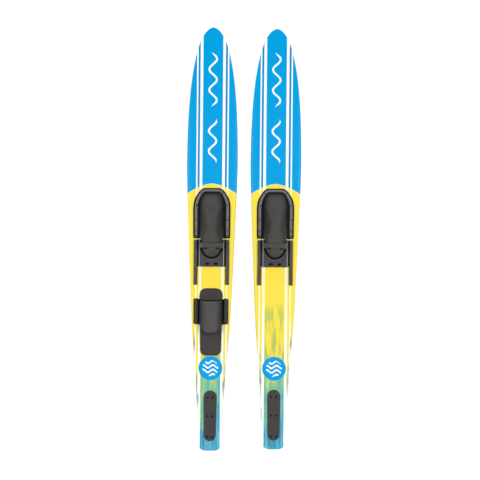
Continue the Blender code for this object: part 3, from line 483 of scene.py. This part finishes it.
def make_base():
    """Underside and lower edge of the board."""
    f = Finish("base_blue", Roughness=0.3, Specular_IOR_Level=0.4)
    layout = f.layout()
    rim = f.node("SeparateXYZ", layout).outputs[2]
    scratches = f.streaks(layout, 700.0, 6.0, 3.0)
    wear_and_highlight = f.times(f.ease(scratches, 0.55, 0.75), 0.25)
    f.colour(f.mix(f.fall(rim, 0.0022, 0.0060), f.mix(wear_and_highlight, BLUE, DEEP_BLUE), WHITE))
    f.roughness(f.plus(0.18, scratches, 0.25))
    f.bump(scratches, 0.05, 0.0003)
    return f.material


def make_dark(name, dark, light, roughness, grain, depth, specular=0.3, sheen=0.0, wear_and_highlight=None,
              sides=STEEP_SHADE, unlit=None):
    """Rubber, foam or moulded plastic: two close shades in soft patches, and a grain of this size.

    Steep sides are painted darker than what faces up, as painted shade: they take this share of the
    darker shade. A lighter lengthwise line is painted on as a highlight, given as its middle's distance
    from the ski's centre line, its half width and its colour. Further from the centre line than unlit
    the moulding is painted black, as painted shade.
    """
    f = Finish(name, Roughness=roughness, Specular_IOR_Level=specular, Sheen_Weight=sheen,
               Sheen_Roughness=0.5)
    place = f.object_place()
    patches = f.noise(place, 24.0)
    specks = f.noise(place, 1.0 / grain, 2.0, 0.6)
    shade = f.math("ADD", f.times(patches, 0.6), f.times(specks, 0.4))
    colour = f.mix(f.ease(shade, 0.25, 0.75), linear(*dark), linear(*light))
    # painted shade: the steeper a surface stands, the closer it is painted to the sides share of the
    # darker shade
    facing_up = f.node("SeparateXYZ", f.node("NewGeometry").outputs["Normal"]).outputs[2]
    colour = f.mix(f.ease(facing_up, 0.38, 0.97), linear(*[sides * c for c in dark]), colour)
    # painted highlight: a lighter lengthwise line along rounded tops and ribs
    if wear_and_highlight:
        middle, half, shine = wear_and_highlight
        across = f.node("SeparateXYZ", place).outputs[0]
        from_centre = f.math("ABSOLUTE", f.less(f.math("ABSOLUTE", across), HALF_SPACING))
        from_line = f.math("ABSOLUTE", f.less(from_centre, middle))
        line = f.times(f.fall(from_line, 0.4 * half, half), f.ease(patches, 0.1, 0.5))
        colour = f.mix(line, colour, linear(*shine))
        # painted shade: past unlit the moulding is painted near black
        if unlit:
            past = f.ease(from_centre, unlit - 0.0002, unlit + 0.0002)
            colour = f.mix(past, colour, linear(2, 2, 2))
    f.colour(colour)
    f.roughness(f.plus(roughness - 0.07, patches, 0.14))
    f.bump(specks, depth, 0.4 * grain)
    return f.material


def make_metal(name, colour, roughness):
    """Brushed metal."""
    f = Finish(name, Metallic=1.0, Roughness=roughness)
    brushed = f.streaks(f.object_place(), 2600.0, 260.0, z=260.0)
    f.colour(f.mix(brushed, linear(*colour), linear(*[min(255, 1.35 * c) for c in colour])))
    f.roughness(f.plus(roughness - 0.1, brushed, 0.2))
    f.bump(brushed, 0.08, 0.0002)
    return f.material


FINISHES = {
    "rubber": make_dark("moulded_rubber", (60, 59, 58), (68, 67, 65), 0.60, 0.0011, 0.30, 0.2),
    # the heel rubber's steep sides are painted less dark than the other rubbers'
    "heel": make_dark("heel_rubber", (62, 61, 56), (70, 69, 63), 0.60, 0.0011, 0.30, 0.2, sides=1.20),
    "strap": make_dark("strap_rubber", (66, 65, 64), (75, 74, 73), 0.60, 0.0011, 0.30, 0.2),
    # near black: painted shade on the toe piece's flange, and a painted shadow along the strap's front
    # edge
    "flange": make_dark("flange_rubber_painted_shade", (8, 8, 9), (15, 15, 15), 0.60, 0.0012, 0.25, 0.1),
    "nylon": make_dark("moulded_nylon", (24, 24, 26), (32, 32, 34), 0.46, 0.0008, 0.22),
    # the rail, clamp and cover lines are painted highlights along their tops and ribs
    "rail": make_dark("rail_nylon", (18, 18, 19), (26, 26, 27), 0.46, 0.0008, 0.22,
                      wear_and_highlight=(0.0637, 0.0048, (54, 56, 55))),
    "clamp": make_dark("clamp_nylon", (10, 10, 11), (16, 16, 17), 0.46, 0.0008, 0.22, 0.2,
                       wear_and_highlight=(0.0620, 0.0056, (42, 43, 42))),
    "cover": make_dark("cover_nylon", (38, 38, 42), (46, 46, 50), 0.48, 0.0008, 0.22,
                       wear_and_highlight=(0.0487, 0.0014, (176, 172, 178)), unlit=RIB_OUTER),
    # light grey: a painted highlight on the edge of the cover's opening
    "lip": make_dark("lip_painted_highlight", (92, 92, 92), (108, 108, 108), 0.44, 0.0008, 0.15),
    "plate": make_dark("tail_plate_nylon", (40, 37, 37), (48, 45, 44), 0.55, 0.0009, 0.30),
    "strip": make_dark("strip_nylon", (84, 83, 88), (98, 97, 100), 0.42, 0.0009, 0.15),
    "foam": make_dark("pebbled_foam", (54, 50, 51), (64, 61, 59), 0.78, 0.0022, 0.55, 0.25, 0.05),
    # near black: painted shade in the heel slots, the heel groove and the latch windows
    "black": make_dark("painted_shade_black", (3, 3, 3), (7, 7, 7), 0.60, 0.0010, 0.10, 0.1),
    "screw": make_metal("blackened_steel", (20, 20, 22), 0.38),
    "spring": make_metal("spring_steel", (150, 150, 153), 0.28),
    "base": make_base(),
    "top_left": make_topsheet("topsheet_left", 1.06, 3.1),
    "top_right": make_topsheet("topsheet_right", 1.09, 7.7),
}


# ---------------- boards

def board_sections(ski):
    """(station, half width, low, high) of each ring of the CAD board."""
    rings = {}
    for x, s, z in ski.points("board"):
        rings.setdefault(round(s, 4), []).append((abs(x), z))
    sections = []
    for s, ring in sorted(rings.items()):
        half = max(x for x, z in ring)
        if s < 0.1 or half > 0.016:      # not the screw holes
            sections.append((s, half, min(z for x, z in ring), max(z for x, z in ring)))
    return sections


def tunnel_shape(ski, sections):
    """How deep the tunnel in the base is at each ring, read near the centre line."""
    middle = {}
    for x, s, z in ski.points("board"):
        if abs(x) < 0.001:
            middle.setdefault(round(s, 4), []).append(z)
    return [min(middle[s]) - low if s in middle else 0.0 for s, half, low, high in sections]


def make_board(ski, topsheet):
    """The board again, with a finer outline and smoothly rounded edges."""
    sections = board_sections(ski)
    depths = tunnel_shape(ski, sections)
    through = spline([(*section, depth) for section, depth in zip(sections, depths)])
    bm = bmesh.new()
    layout = bm.verts.layers.float_vector.new("layout")
    grid = []
    tip, last = sections[0][0], len(sections) - 1
    for i in range(last):
        steps = max(1, round((sections[i + 1][0] - sections[i][0]) / RING_SPACING))
        positions = [i + k / steps for k in range(steps)] + ([last] if i == last - 1 else [])
        for position in positions:
            s, half, low, high, tunnel = through(position)
            edge, under = min(EDGE_ROUND, 0.45 * half), min(LOWER_ROUND, 0.3 * half)
            waist = low + WAIST * (high - low)
            right = [((half - edge) * k / 6, high) for k in range(1, 6)]
            right += [(half - edge * (1.0 - math.sin(a)), waist + (high - waist) * math.cos(a))
                      for a in (math.radians(11.25 * k) for k in range(9))]
            deck_count = len(right)
            right += [(half - under * (1.0 - math.cos(a)), waist - (waist - low) * math.sin(a))
                      for a in (math.radians(22.5 * k) for k in range(1, 5))]
            right += [(TUNNEL_EDGE * half, low), (TUNNEL_WALL * half, low + tunnel)]
            ring = [(0.0, high)] + right + [(0.0, low + tunnel)] + [(-x, z) for x, z in reversed(right)]
            line = []
            for x, z in ring:
                vertex = bm.verts.new((x, -s, z))
                vertex[layout] = (x, s, min(half - abs(x), s - tip + 0.001))
                line.append(vertex)
            grid.append(line)
    count = len(grid[0])
    for one, two in zip(grid, grid[1:]):
        for k in range(count):
            n = (k + 1) % count
            face = bm.faces.new((one[k], one[n], two[n], two[k]))
            on_deck = k < deck_count or k >= count - deck_count
            face.material_index = 0 if on_deck else 1
    bm.faces.new(grid[0])
    bm.faces.new(list(reversed(grid[-1])))
    add_piece(ski, "board_laminate", bm, ski.body, [topsheet, "base"], ["board"],
              sharp=50.0)


# ---------------- rubber and foam

def section_shape(boxiness):
    """Half a cross section between the tented and the boxy one, as a function from foot 0 to ridge 1."""
    blend = spline([[a + (b - a) * boxiness for a, b in zip(*pair)] for pair in zip(TENTED, BOXY)])
    return lambda share: blend(share * (len(BOXY) - 1))


def arch_row(edge, foot, ridge, base, lean, section):
    """One arch from the right flange edge over the ridge to the left one, as (x, s, z) points."""
    right = [(edge[0] + (foot[0] - edge[0]) * k / FLANGE_STEPS,
              edge[1] + (foot[1] - edge[1]) * k / FLANGE_STEPS, base) for k in range(FLANGE_STEPS + 1)]
    for k in range(1, SECTION_STEPS):
        across, height = section(k / SECTION_STEPS)
        right.append((foot[0] * across, ridge[0] + (foot[1] - ridge[0]) * max(across, 0.0) ** lean,
                      base + ridge[1] * height))
    left = [(-x, s, z) for x, s, z in reversed(right)]
    return right + [(0.0, ridge[0], base + ridge[1])] + left


def shape_surface(bm, move):
    """Push each vertex along its normal by what move gives for its (x, s, z)."""
    bm.normal_update()
    shifts = [(v, v.normal * move(v.co.x, -v.co.y, v.co.z)) for v in bm.verts]
    for vertex, shift in shifts:
        vertex.co += shift


def paint_faces(bm, is_dark):
    """Give the second material to the faces whose centre is_dark says yes to, as (x, s, z)."""
    for face in bm.faces:
        x, y, z = face.calc_center_median()
        face.material_index = 1 if is_dark(x, -y, z) else 0


def make_toe_rubber(ski, skew):
    """The toe piece: a flange under the clamp strips and a dome that opens to the rear."""
    base = ski.deck + TOE_SEAT + FLANGE
    outline, feet, ridges = eased(TOE_OUTLINE), eased(TOE_FOOTPRINT), eased(TOE_RIDGE, 3)
    last = len(TOE_OUTLINE) - 1
    coarse = [last * k / 56 for k in range(50)]
    close = [7.0 + 0.1 * k for k in range(11)]
    rows = []
    for position in sorted(coarse + close):
        lean = 1.0 + TOE_LEAN * (position / last) ** 2
        boxiness = 0.5 - 0.5 * smoothstep(*TOE_TENTED, position) + smoothstep(*TOE_BOXED, position)
        rows.append(arch_row(outline(position), feet(position), ridges(position), base, lean,
                             section_shape(boxiness)))
    bm = upward(sheet_mesh(rows))
    roll_start = TOE_RIDGE[-1][0] - TOE_ROLL[0]

    def move(x, s, z):
        height = z - base
        if height < 0.001:
            return 0.0
        roll = min(1.0, max(0.0, (s - roll_start) / TOE_ROLL[0]))
        roll = TOE_ROLL[1] * roll * roll * smoothstep(0.01, 0.03, height)
        fold_x = 0.0335 + 0.0135 * smoothstep(0.795, 0.860, s)
        fold = math.exp(-((abs(x) - fold_x) / 0.0034) ** 2) * smoothstep(0.790, 0.815, s)
        fold *= smoothstep(0.012, 0.030, height)
        soft = 0.0007 * ripple(x, s, z, 0.034, 5.0 + skew) + 0.00025 * ripple(x, s, z, 0.012, 9.0 + skew)
        return soft * smoothstep(0.004, 0.02, height) - FOLD_DEPTH * fold - roll
    shape_surface(bm, move)
    # the flange is painted near black as painted shade
    paint_faces(bm, lambda x, s, z: z < base + 0.0012)
    thicken(add_piece(ski, "toe_piece", bm, ski.body, ["rubber", "flange"],
                      ["toe_rubber"]))


def heel_outline(grow, steps):
    """Half ellipse round the heel: its right half from the rear, and the short run forward."""
    points = [((HEEL_HALF + grow) * math.sin(a), HEEL_CENTRE + (HEEL_DEPTH + grow) * math.cos(a))
              for a in (0.5 * math.pi * k / steps for k in range(steps + 1))]
    points[0] = (0.0, points[0][1])
    return points + [(HEEL_HALF + grow, HEEL_FRONT)]


def upright_arch(s, half, height, base, shear):
    """An arch from right to left that stands across the ski, a little skewed by shear."""
    right = []
    for k in range(UPRIGHT_STEPS):
        angle = 0.5 * math.pi * k / UPRIGHT_STEPS
        x = half * math.cos(angle) ** ARCH_SQUARENESS
        rise = height * math.sin(angle) ** ARCH_SQUARENESS
        right.append((x, s + shear * x / COLLAR_HALF, base + rise))
    left = [(-x, 2.0 * s - aft, z) for x, aft, z in reversed(right)]
    return right + [(0.0, s, base + height)] + left


def make_heel_rubber(ski, skew):
    """The heel piece: a cup, and a wide collar in front of it with two pull slots behind the collar,
    painted near black on its surface as painted shade.
    """
    base = ski.deck + HEEL_SEAT + FLANGE
    shear = COLLAR_SHEAR * skew
    rows = []
    for k in range(CUP_SLICES + 1):
        turn = math.radians(CUP_TURN[0] + (CUP_TURN[1] - CUP_TURN[0]) * k / CUP_SLICES)
        s, half = HEEL_CENTRE + CUP_DEPTH * math.cos(turn), CUP_HALF * math.sin(turn)
        height = CUP_CREST * math.sin(turn) ** CUP_FALL
        if k == 0:      # the back wall rises to the first slice
            for share in (0.02, 0.2, 0.4, 0.6, 0.8, 0.92):
                wall = s + CUP_BULGE * (1.0 - share ** 2)
                rows.append(upright_arch(wall, half, height * share, base, 0.0))
        rows.append(upright_arch(s, half, height, base, shear * smoothstep(0.895, 0.885, s)))
    for share in (0.5, 1.0):
        wall = COLLAR_REAR + CUP_BULGE * (1.0 - share)
        rows.append(upright_arch(wall, half + (COLLAR_HALF - half) * share,
                                 height + (COLLAR_TOP - height) * share, base, shear))
    length = COLLAR_REAR - COLLAR_FRONT
    for share in (0.03, 0.08, 0.2, 0.4, 0.6, 0.8, 0.92, 0.97, 1.0):
        bulge = COLLAR_BULGE * math.sin(math.pi * share)
        rows.append(upright_arch(COLLAR_REAR - length * share, COLLAR_HALF + 0.5 * bulge,
                                 COLLAR_TOP + bulge, base, shear * (1.0 - share)))
    bm = upward(sheet_mesh(rows))

    def move(x, s, z):
        return 0.0006 * ripple(x, s, z, 0.028, 12.0 + skew) * smoothstep(0.002, 0.012, z - base)
    shape_surface(bm, move)

    # cut the slots' straight edges into the surface before they are painted
    slot_rear = COLLAR_REAR + SLOT_LENGTH
    cuts = [((x, 0.0, 0.0), (1.0, 0.0, 0.0)) for edge in SLOT_SPAN for x in (edge, -edge)]
    for point, normal in cuts + [((0.0, -slot_rear, 0.0), (0.0, 1.0, 0.0))]:
        bmesh.ops.bisect_plane(bm, geom=bm.verts[:] + bm.edges[:] + bm.faces[:], dist=1e-4,
                               plane_co=point, plane_no=normal)
    bm.normal_update()

    # painted shade: the slots are faces painted near black
    def in_slot(x, s, z):
        behind = s - shear * x / COLLAR_HALF - COLLAR_REAR
        return SLOT_SPAN[0] < abs(x) < SLOT_SPAN[1] and behind > 0.0004 and s < slot_rear
    paint_faces(bm, in_slot)
    thicken(add_piece(ski, "heel_piece", bm, ski.slider, ["heel", "black"],
                      ["heel_rubber"]))
    make_heel_flange(ski, base)


def make_heel_flange(ski, base):
    """The flat rim of the heel piece, which lies under the cover, painted near black as the painted
    shade of the groove round the heel.
    """
    outer, inner = heel_outline(HEEL_FLANGE, 24), heel_outline(HEEL_FLANGE_INNER, 24)
    rings = []
    for (x1, s1), (x2, s2) in list(zip(outer, inner))[::-1]:
        rings.append([(x1, s1, base - FLANGE), (x1, s1, base), (x2, s2, base), (x2, s2, base - FLANGE)])
    rings += [[(-x, s, z) for x, s, z in ring] for ring in rings[-2::-1]]
    bm = sheet_mesh(rings, closed=True)
    add_piece(ski, "heel_flange", bm, ski.slider, ["black"], sharp=40.0)


def make_cover_lip(ski):
    """A low bead on the cover, round the rear of its opening, painted light grey as a highlight on the
    opening's edge.
    """
    top = ski.span("heel_cover")[1][2] - LIP_BELOW_RIB
    line = heel_outline(HEEL_MOUTH + LIP_HALF, 40)[:-1]
    rings = []
    for k, (x, s) in enumerate(line[:LIP_REACH]):
        away = (Vector((x, s)) - Vector((0.0, HEEL_CENTRE))).normalized()
        fade = math.sqrt(max(0.0, 1.0 - (k / (LIP_REACH - 0.9)) ** 4))
        ring = []
        for angle in (math.pi * step / 8 for step in range(9)):
            out = LIP_HALF * math.cos(angle)
            ring.append((x + out * away.x * fade, s + out * away.y * fade,
                         top - LIP_SUNK + (LIP_SUNK + LIP_RISE * fade) * math.sin(angle)))
        rings.append(ring)
    rings = rings[::-1] + [[(-x, s, z) for x, s, z in ring] for ring in rings[1:]]
    bm = sheet_mesh(rings, closed=True)
    add_piece(ski, "heel_cover_lip", bm, ski.slider, ["lip"], sharp=50.0)


def make_rear_strap(ski):
    """The rear toe piece's strap, from clamp to clamp over the footpad."""
    base = ski.deck + STRAP_SEAT + FLANGE
    rows = []
    for j in range(STRAP_SLICES + 1):
        t = j / STRAP_SLICES
        side, crown, rise, lean = (a + (b - a) * t for a, b in (STRAP_SIDE, STRAP_CROWN, STRAP_RISE,
                                                                STRAP_LEAN))
        tucked = STRAP_SIDE[0] + STRAP_TUCK * t
        rows.append(arch_row((STRAP_EDGE, tucked), (STRAP_FOOT, side), (crown, rise), base, lean,
                             section_shape(0.50)))
    bm = upward(sheet_mesh(rows))

    def move(x, s, z):
        height = z - base
        if height < 0.001:
            return 0.0
        t = (s - STRAP_CROWN[0]) / (STRAP_CROWN[1] - STRAP_CROWN[0])
        beads = sum(math.exp(-((t - middle) / 0.025) ** 2) for middle in (0.02, 0.97))
        soft = 0.0008 * ripple(x, s, z, 0.035, 21.0) + 0.0003 * ripple(x, s, z, 0.012, 25.0)
        return 0.0010 * beads * smoothstep(0.01, 0.03, height) + soft
    shape_surface(bm, move)

    # painted shadow: a dark line along the front edge; the flange under the clamps is painted dark too
    def is_dark(x, s, z):
        turned = min(1.0, abs(x) / STRAP_FOOT) ** STRAP_LEAN[0]
        front = STRAP_CROWN[0] + (STRAP_SIDE[0] - STRAP_CROWN[0]) * turned
        return s < front + STRAP_LINE or z < base + 0.002
    paint_faces(bm, is_dark)
    thicken(add_piece(ski, "rear_toe_strap", bm, ski.body, ["strap", "flange"],
                      ["rear_strap"]))


def crowned_pad(outline, bottom, top, crown, roll):
    """A closed pad on this plan outline, its edge rolled over and its top crowned."""
    middle = sum((Vector(p) for p in outline), Vector((0.0, 0.0))) / len(outline)
    rows = [[(x, s, bottom) for x, s in outline]]

    def add_row(height, inset, share):
        row = []
        for x, s in outline:
            away = Vector((x, s)) - middle
            away *= (1.0 - inset / away.length) * share
            row.append((middle.x + away.x, middle.y + away.y, height))
        rows.append(row)
    for angle in (0.5 * math.pi * k / 6 for k in range(7)):
        add_row(top - roll * (1.0 - math.sin(angle)), roll * (1.0 - math.cos(angle)), 1.0)
    for share in (0.94, 0.85, 0.72, 0.56, 0.38, 0.18):
        add_row(top + crown * (1.0 - share * share), roll, share)
    return sheet_mesh(rows, closed=True)


def make_pads(ski):
    """Footbeds in the toe and heel pieces."""
    deck = ski.deck
    bed = crowned_pad(mirrored(TOE_BED), deck + TOE_SEAT, deck + BED_TOP_TOE, BED_CROWN, BED_ROLL_TOE)
    toe = add_piece(ski, "toe_footbed_pad", bed, ski.body, ["foam"], ["toe_footbed"])
    points = heel_outline(HEEL_BED_INSET, 16)
    points[-1] = (points[-1][0], HEEL_BED_FRONT)
    bed = crowned_pad(mirrored(points[::-1]), deck + HEEL_SEAT, deck + BED_TOP_HEEL, BED_CROWN,
                      BED_ROLL_HEEL)
    heel = add_piece(ski, "heel_footbed_pad", bed, ski.slider, ["foam"], ["heel_footbed"])


def make_rear_footpad(ski):
    """The left ski's rear footpad, between its rounded nose and its rounded rear corners."""
    low, high = ski.span("rear_footpad")
    nose = eased([(x, low[1] + back) for x, back in PAD_NOSE], 3)
    right = [tuple(nose((len(PAD_NOSE) - 1) * k / 20)) for k in range(21)]
    right[0] = (0.0, right[0][1])
    half_front, straight = right[-1]
    corner = high[1] - PAD_CORNER
    right += [(half_front + (PAD_HALF_REAR - half_front) * k / 8, straight + (corner - straight) * k / 8)
              for k in range(1, 8)]
    right += arc((PAD_HALF_REAR - PAD_CORNER, corner), PAD_CORNER, 0, 90, 10) + [(0.0, high[1])]
    bm = crowned_pad(mirrored(right), low[2], high[2] - PAD_CROWN, PAD_CROWN, PAD_ROLL)
    pad = add_piece(ski, "rear_foot_pad", bm, ski.body, ["foam"], ["rear_footpad"])


# ---------------- fasteners and hard trim

def screw_head(bm, x, s, z, radius, height):
    """A button head with a hexagon socket, its seat at (x, s, z)."""
    turns = [2 * math.pi * k / 24 for k in range(24)]
    socket = [0.42 / math.cos((a + math.pi / 6) % (math.pi / 3) - math.pi / 6) for a in turns]
    shapes = [([reach] * 24, h) for reach, h in ((1.0, 0.0), (1.0, 0.35), (0.86, 0.75), (0.62, 1.0))]
    rings = []
    for shape, h in shapes + [(socket, 1.0), (socket, 0.35)]:
        reaches = [radius * reach for reach in shape]
        rings.append([(x + r * math.cos(a), s + r * math.sin(a), z + h * height)
                      for r, a in zip(reaches, turns)])
    part = sheet_mesh(rings, closed=True)
    mesh = bpy.data.meshes.new("head")
    part.to_mesh(mesh)
    part.free()
    bm.from_mesh(mesh)
    bpy.data.meshes.remove(mesh)


def make_clamp_strip(ski):
    """The moulded strip that holds the toe piece's flange down, in one sweep round the toe."""
    bottom, top = ski.deck + STRIP_RISE - STRIP_THICK, ski.deck + STRIP_RISE
    line = eased(TOE_OUTLINE)
    path = [line((len(TOE_OUTLINE) - 1) * (k / 150)) for k in range(151)]
    path = [p for p in path if p.y < STRIP_END - 0.0001] + [Vector((path[-1].x, STRIP_END))]
    path = [Vector((-p.x, p.y)) for p in path[:0:-1]] + path
    side = [(1.0, 0.0), (1.0, 0.55), (0.94, 0.82), (0.80, 0.97), (0.40, 1.06)]
    profile = [(-across, height) for across, height in side] + [(0.0, 1.09)] + side[::-1]
    rings = []
    for k, p in enumerate(path):
        before, after = path[max(k - 1, 0)], path[min(k + 1, len(path) - 1)]
        ahead = (after - before).normalized()
        inward = Vector((-ahead.y, ahead.x))
        turned = smoothstep(*STRIP_TURN, p.y)
        inset, half = (a + (b - a) * turned for a, b in (STRIP_INSET, STRIP_HALF))
        to_end = min(STRIP_END - p.y, STRIP_TIP)
        half -= STRIP_TAPER * (1.0 - math.sqrt(max(0.0, 1.0 - (1.0 - to_end / STRIP_TIP) ** 2)))
        ring = []
        for across, height in profile:
            point = p + inward * (inset + half * across)
            ring.append((point.x, point.y, bottom + (top - bottom) * height))
        rings.append(ring)
    add_piece(ski, "toe_clamp_strip", sheet_mesh(rings, closed=True), ski.body, ["strip"],
              ["toe_clamp_left", "toe_clamp_front", "toe_clamp_right"], sharp=50.0)
    heads = bmesh.new()
    for x, s in SCREW_PLACES:
        for sign in (-1.0, 1.0):
            screw_head(heads, sign * x, s, top + 0.0001, SCREW_RADIUS, SCREW_HEIGHT)
    add_piece(ski, "toe_clamp_screws", heads, ski.body, ["screw"], sharp=35.0)


def make_rear_clamps(ski):
    """The two bars that hold the rear strap down, rounded all over."""
    corners = ((CLAMP_OUTER, CLAMP_FRONT, 0.0075, -90), (CLAMP_OUTER, CLAMP_REAR, 0.0085, 0),
               (CLAMP_INNER, CLAMP_REAR, 0.0045, 90), (CLAMP_INNER, CLAMP_FRONT, 0.0045, 180))
    bottom = ski.span("rear_clamp_left")[0][2]
    for side, sign in (("left", -1.0), ("right", 1.0)):
        plan = []
        for x, s, radius, start in corners:
            centre = (x + (radius if x == CLAMP_INNER else -radius),
                      s + (radius if s == CLAMP_FRONT else -radius))
            plan += [(sign * px, ps) for px, ps in arc(centre, radius, start, start + 90, 6)]
        bm = rolled_bar(plan, bottom, ski.deck + CLAMP_TOP, CLAMP_ROLL)
        add_piece(ski, "rear_clamp_bar_" + side, bm, ski.body, ["clamp"],
                  ["rear_clamp_" + side])


def rolled_bar(outline, bottom, top, roll):
    """A closed block on this plan outline whose upper edge is rolled over, each step inset evenly."""
    count = len(outline)
    points = [Vector(p) for p in outline]
    inward = []
    for k in range(count):
        ahead = (points[(k + 1) % count] - points[k - 1]).normalized()
        inward.append(Vector((-ahead.y, ahead.x)))
    middle = sum(points, Vector((0.0, 0.0))) / count
    if sum(n.dot(middle - p) for n, p in zip(inward, points)) < 0.0:
        inward = [-n for n in inward]
    rows = [[(p.x, p.y, bottom) for p in points]]
    for k in range(6):
        angle = 0.5 * math.pi * k / 5
        inset, height = roll * (1.0 - math.cos(angle)), top - roll * (1.0 - math.sin(angle))
        rows.append([(p.x + n.x * inset, p.y + n.y * inset, height) for p, n in zip(points, inward)])
    return sheet_mesh(rows, closed=True)


def soften(ski, node, name, body, finish, width=FINE_EDGE, below=None, lower_width=0.0):
    """Show a copy of a moulded CAD node with its edges rounded in the node's place.

    Edges wholly under the height below get lower_width instead.
    """
    bm = bmesh.new()
    bm.from_mesh(frame["nodes"][ski.name + "_" + node].data)
    bm.transform(ski.matrix.inverted())
    bmesh.ops.remove_doubles(bm, verts=bm.verts, dist=1e-6)
    bmesh.ops.dissolve_limit(bm, angle_limit=math.radians(1.0), verts=bm.verts, edges=bm.edges)
    for limit, offset, steps in ((below, lower_width, 4), (None, width, 2)):
        if not offset:
            continue
        edges = []
        for edge in bm.edges:
            low_edge = below is not None and max(v.co.z for v in edge.verts) < below
            corner = edge.is_manifold and edge.calc_face_angle(0.0) > math.radians(30.0)
            if corner and low_edge == (limit is not None):
                edges.append(edge)
        bmesh.ops.bevel(bm, geom=edges, offset=offset, offset_type="OFFSET", segments=steps, profile=0.5,
                        affect="EDGES", clamp_overlap=True)
    piece = add_piece(ski, name, bm, body, [finish], [node], sharp=32.0)
    level = piece.modifiers.new("level_flats", "WEIGHTED_NORMAL")      # flat faces shade flat
    level.weight = 100
    level.keep_sharp = True


def make_hard_pieces(ski):
    """Round the moulded pieces' edges, and paint the CAD nodes that stay."""
    soften(ski, "fin", "fin_moulding", ski.body, "nylon", FIN_EDGE, BLADE_BELOW, BLADE_EDGE)
    soften(ski, "tail_plate", "tail_plate_moulding", ski.body, "plate", PLATE_EDGE)
    low, high = ski.span("toe_base")
    line = eased(TOE_OUTLINE)
    plan = [tuple(line((len(TOE_OUTLINE) - 1) * k / 60)) for k in range(59)]
    corner = (TOE_OUTLINE[-1][0] - TOE_BASE_CORNER, high[1] - TOE_BASE_CORNER)
    plan += arc(corner, TOE_BASE_CORNER, 0, 90, 6)
    bm = rolled_bar(mirrored(plan), low[2], high[2], TOE_BASE_ROLL)
    add_piece(ski, "toe_base_moulding", bm, ski.body, ["nylon"], ["toe_base"],
              sharp=40.0)
    soften(ski, "heel_base", "heel_base_moulding", ski.slider, "nylon")
    soften(ski, "heel_cover", "heel_cover_moulding", ski.slider, "cover")
    make_cover_lip(ski)
    kept = {"latch_spring": "spring"}
    for side in ("left", "right"):
        soften(ski, "rail_" + side, "rail_moulding_" + side, ski.body, "rail")
        # the latch bolts, seen through the cover's windows, are painted near black as painted shade
        soften(ski, "latch_" + side, "latch_bolt_" + side, ski.name + "_latch_" + side, "black")
        for row in (1, 2, 3):
            kept["tail_screw_" + side + "_" + str(row)] = "screw"
    for node, finish in kept.items():
        for entry in frame["nodes"][ski.name + "_" + node].material_slots:
            entry.material = FINISHES[finish]


# ---------------- stage

def make_floor():
    """A wide pale floor that turns up far away."""
    profile = [(4.0, 0.0), (15.0, 0.0), (50.0, 0.0), (58.0, 0.9), (64.0, 3.6), (68.0, 8.0), (70.0, 14.0)]
    turns = [2 * math.pi * k / 64 for k in range(64)]
    bm = bmesh.new()
    centre = bm.verts.new((0.0, 0.0, FLOOR_HEIGHT))
    rings = [[bm.verts.new((radius * math.cos(a), radius * math.sin(a), height + FLOOR_HEIGHT))
              for a in turns] for radius, height in profile]
    for k in range(64):
        n = (k + 1) % 64
        bm.faces.new((centre, rings[0][k], rings[0][n]))
        for one, two in zip(rings, rings[1:]):
            bm.faces.new((one[k], two[k], two[n], one[n]))
    mesh = bpy.data.meshes.new("floor")
    bm.to_mesh(mesh)
    bm.free()
    mesh.shade_smooth()
    f = Finish("floor_paint", Roughness=0.85, Specular_IOR_Level=0.1, Emission_Strength=FLOOR_GLOW,
               Emission_Color=(1.0, 1.0, 1.0, 1.0))
    f.colour(f.mix(f.noise(f.object_place(), 0.8), (0.60, 0.60, 0.60, 1.0), (0.62, 0.62, 0.62, 1.0)))
    mesh.materials.append(f.material)
    floor = bpy.data.objects.new("floor", mesh)
    bpy.context.scene.collection.objects.link(floor)


def make_lights():
    """Two soft suns from either side, and an even white sky."""
    world = bpy.data.worlds.new("studio")
    bpy.context.scene.world = world
    world.use_nodes = True
    background = world.node_tree.nodes["Background"]
    background.inputs["Color"].default_value = (1.0, 1.0, 1.0, 1.0)
    background.inputs["Strength"].default_value = SKY_STRENGTH
    for name, side in (("key_left", 1.0), ("key_right", -1.0)):
        light = bpy.data.lights.new(name, "SUN")
        light.energy = SUN_STRENGTH
        light.angle = math.radians(SUN_WIDTH)
        obj = bpy.data.objects.new(name, light)
        obj.rotation_euler = (math.radians(SUN_TIP), math.radians(side * SUN_LEAN), 0.0)
        bpy.context.scene.collection.objects.link(obj)


def make_camera():
    """Straight above the pair, far off with a long lens."""
    data = bpy.data.cameras.new("camera")
    data.lens = 600.0
    data.sensor_width = 36.0
    data.clip_end = 200.0
    distance = SEEN_WIDTH * data.lens / data.sensor_width
    camera = bpy.data.objects.new("camera", data)
    camera.location = (*VIEW_CENTRE, distance + SEEN_HEIGHT)
    camera.rotation_euler = (0.0, 0.0, math.radians(VIEW_TURN))
    bpy.context.scene.collection.objects.link(camera)
    bpy.context.scene.camera = camera
    bpy.context.scene.view_settings.view_transform = "Standard"


for ski, topsheet, skew in ((Ski("left"), "top_left", 0.0), (Ski("right"), "top_right", 1.0)):
    make_board(ski, topsheet)
    make_toe_rubber(ski, skew)
    make_heel_rubber(ski, skew)
    make_pads(ski)
    make_clamp_strip(ski)
    make_hard_pieces(ski)
    if ski.name == "left":
        make_rear_strap(ski)
        make_rear_footpad(ski)
        make_rear_clamps(ski)
make_floor()
make_lights()
make_camera()
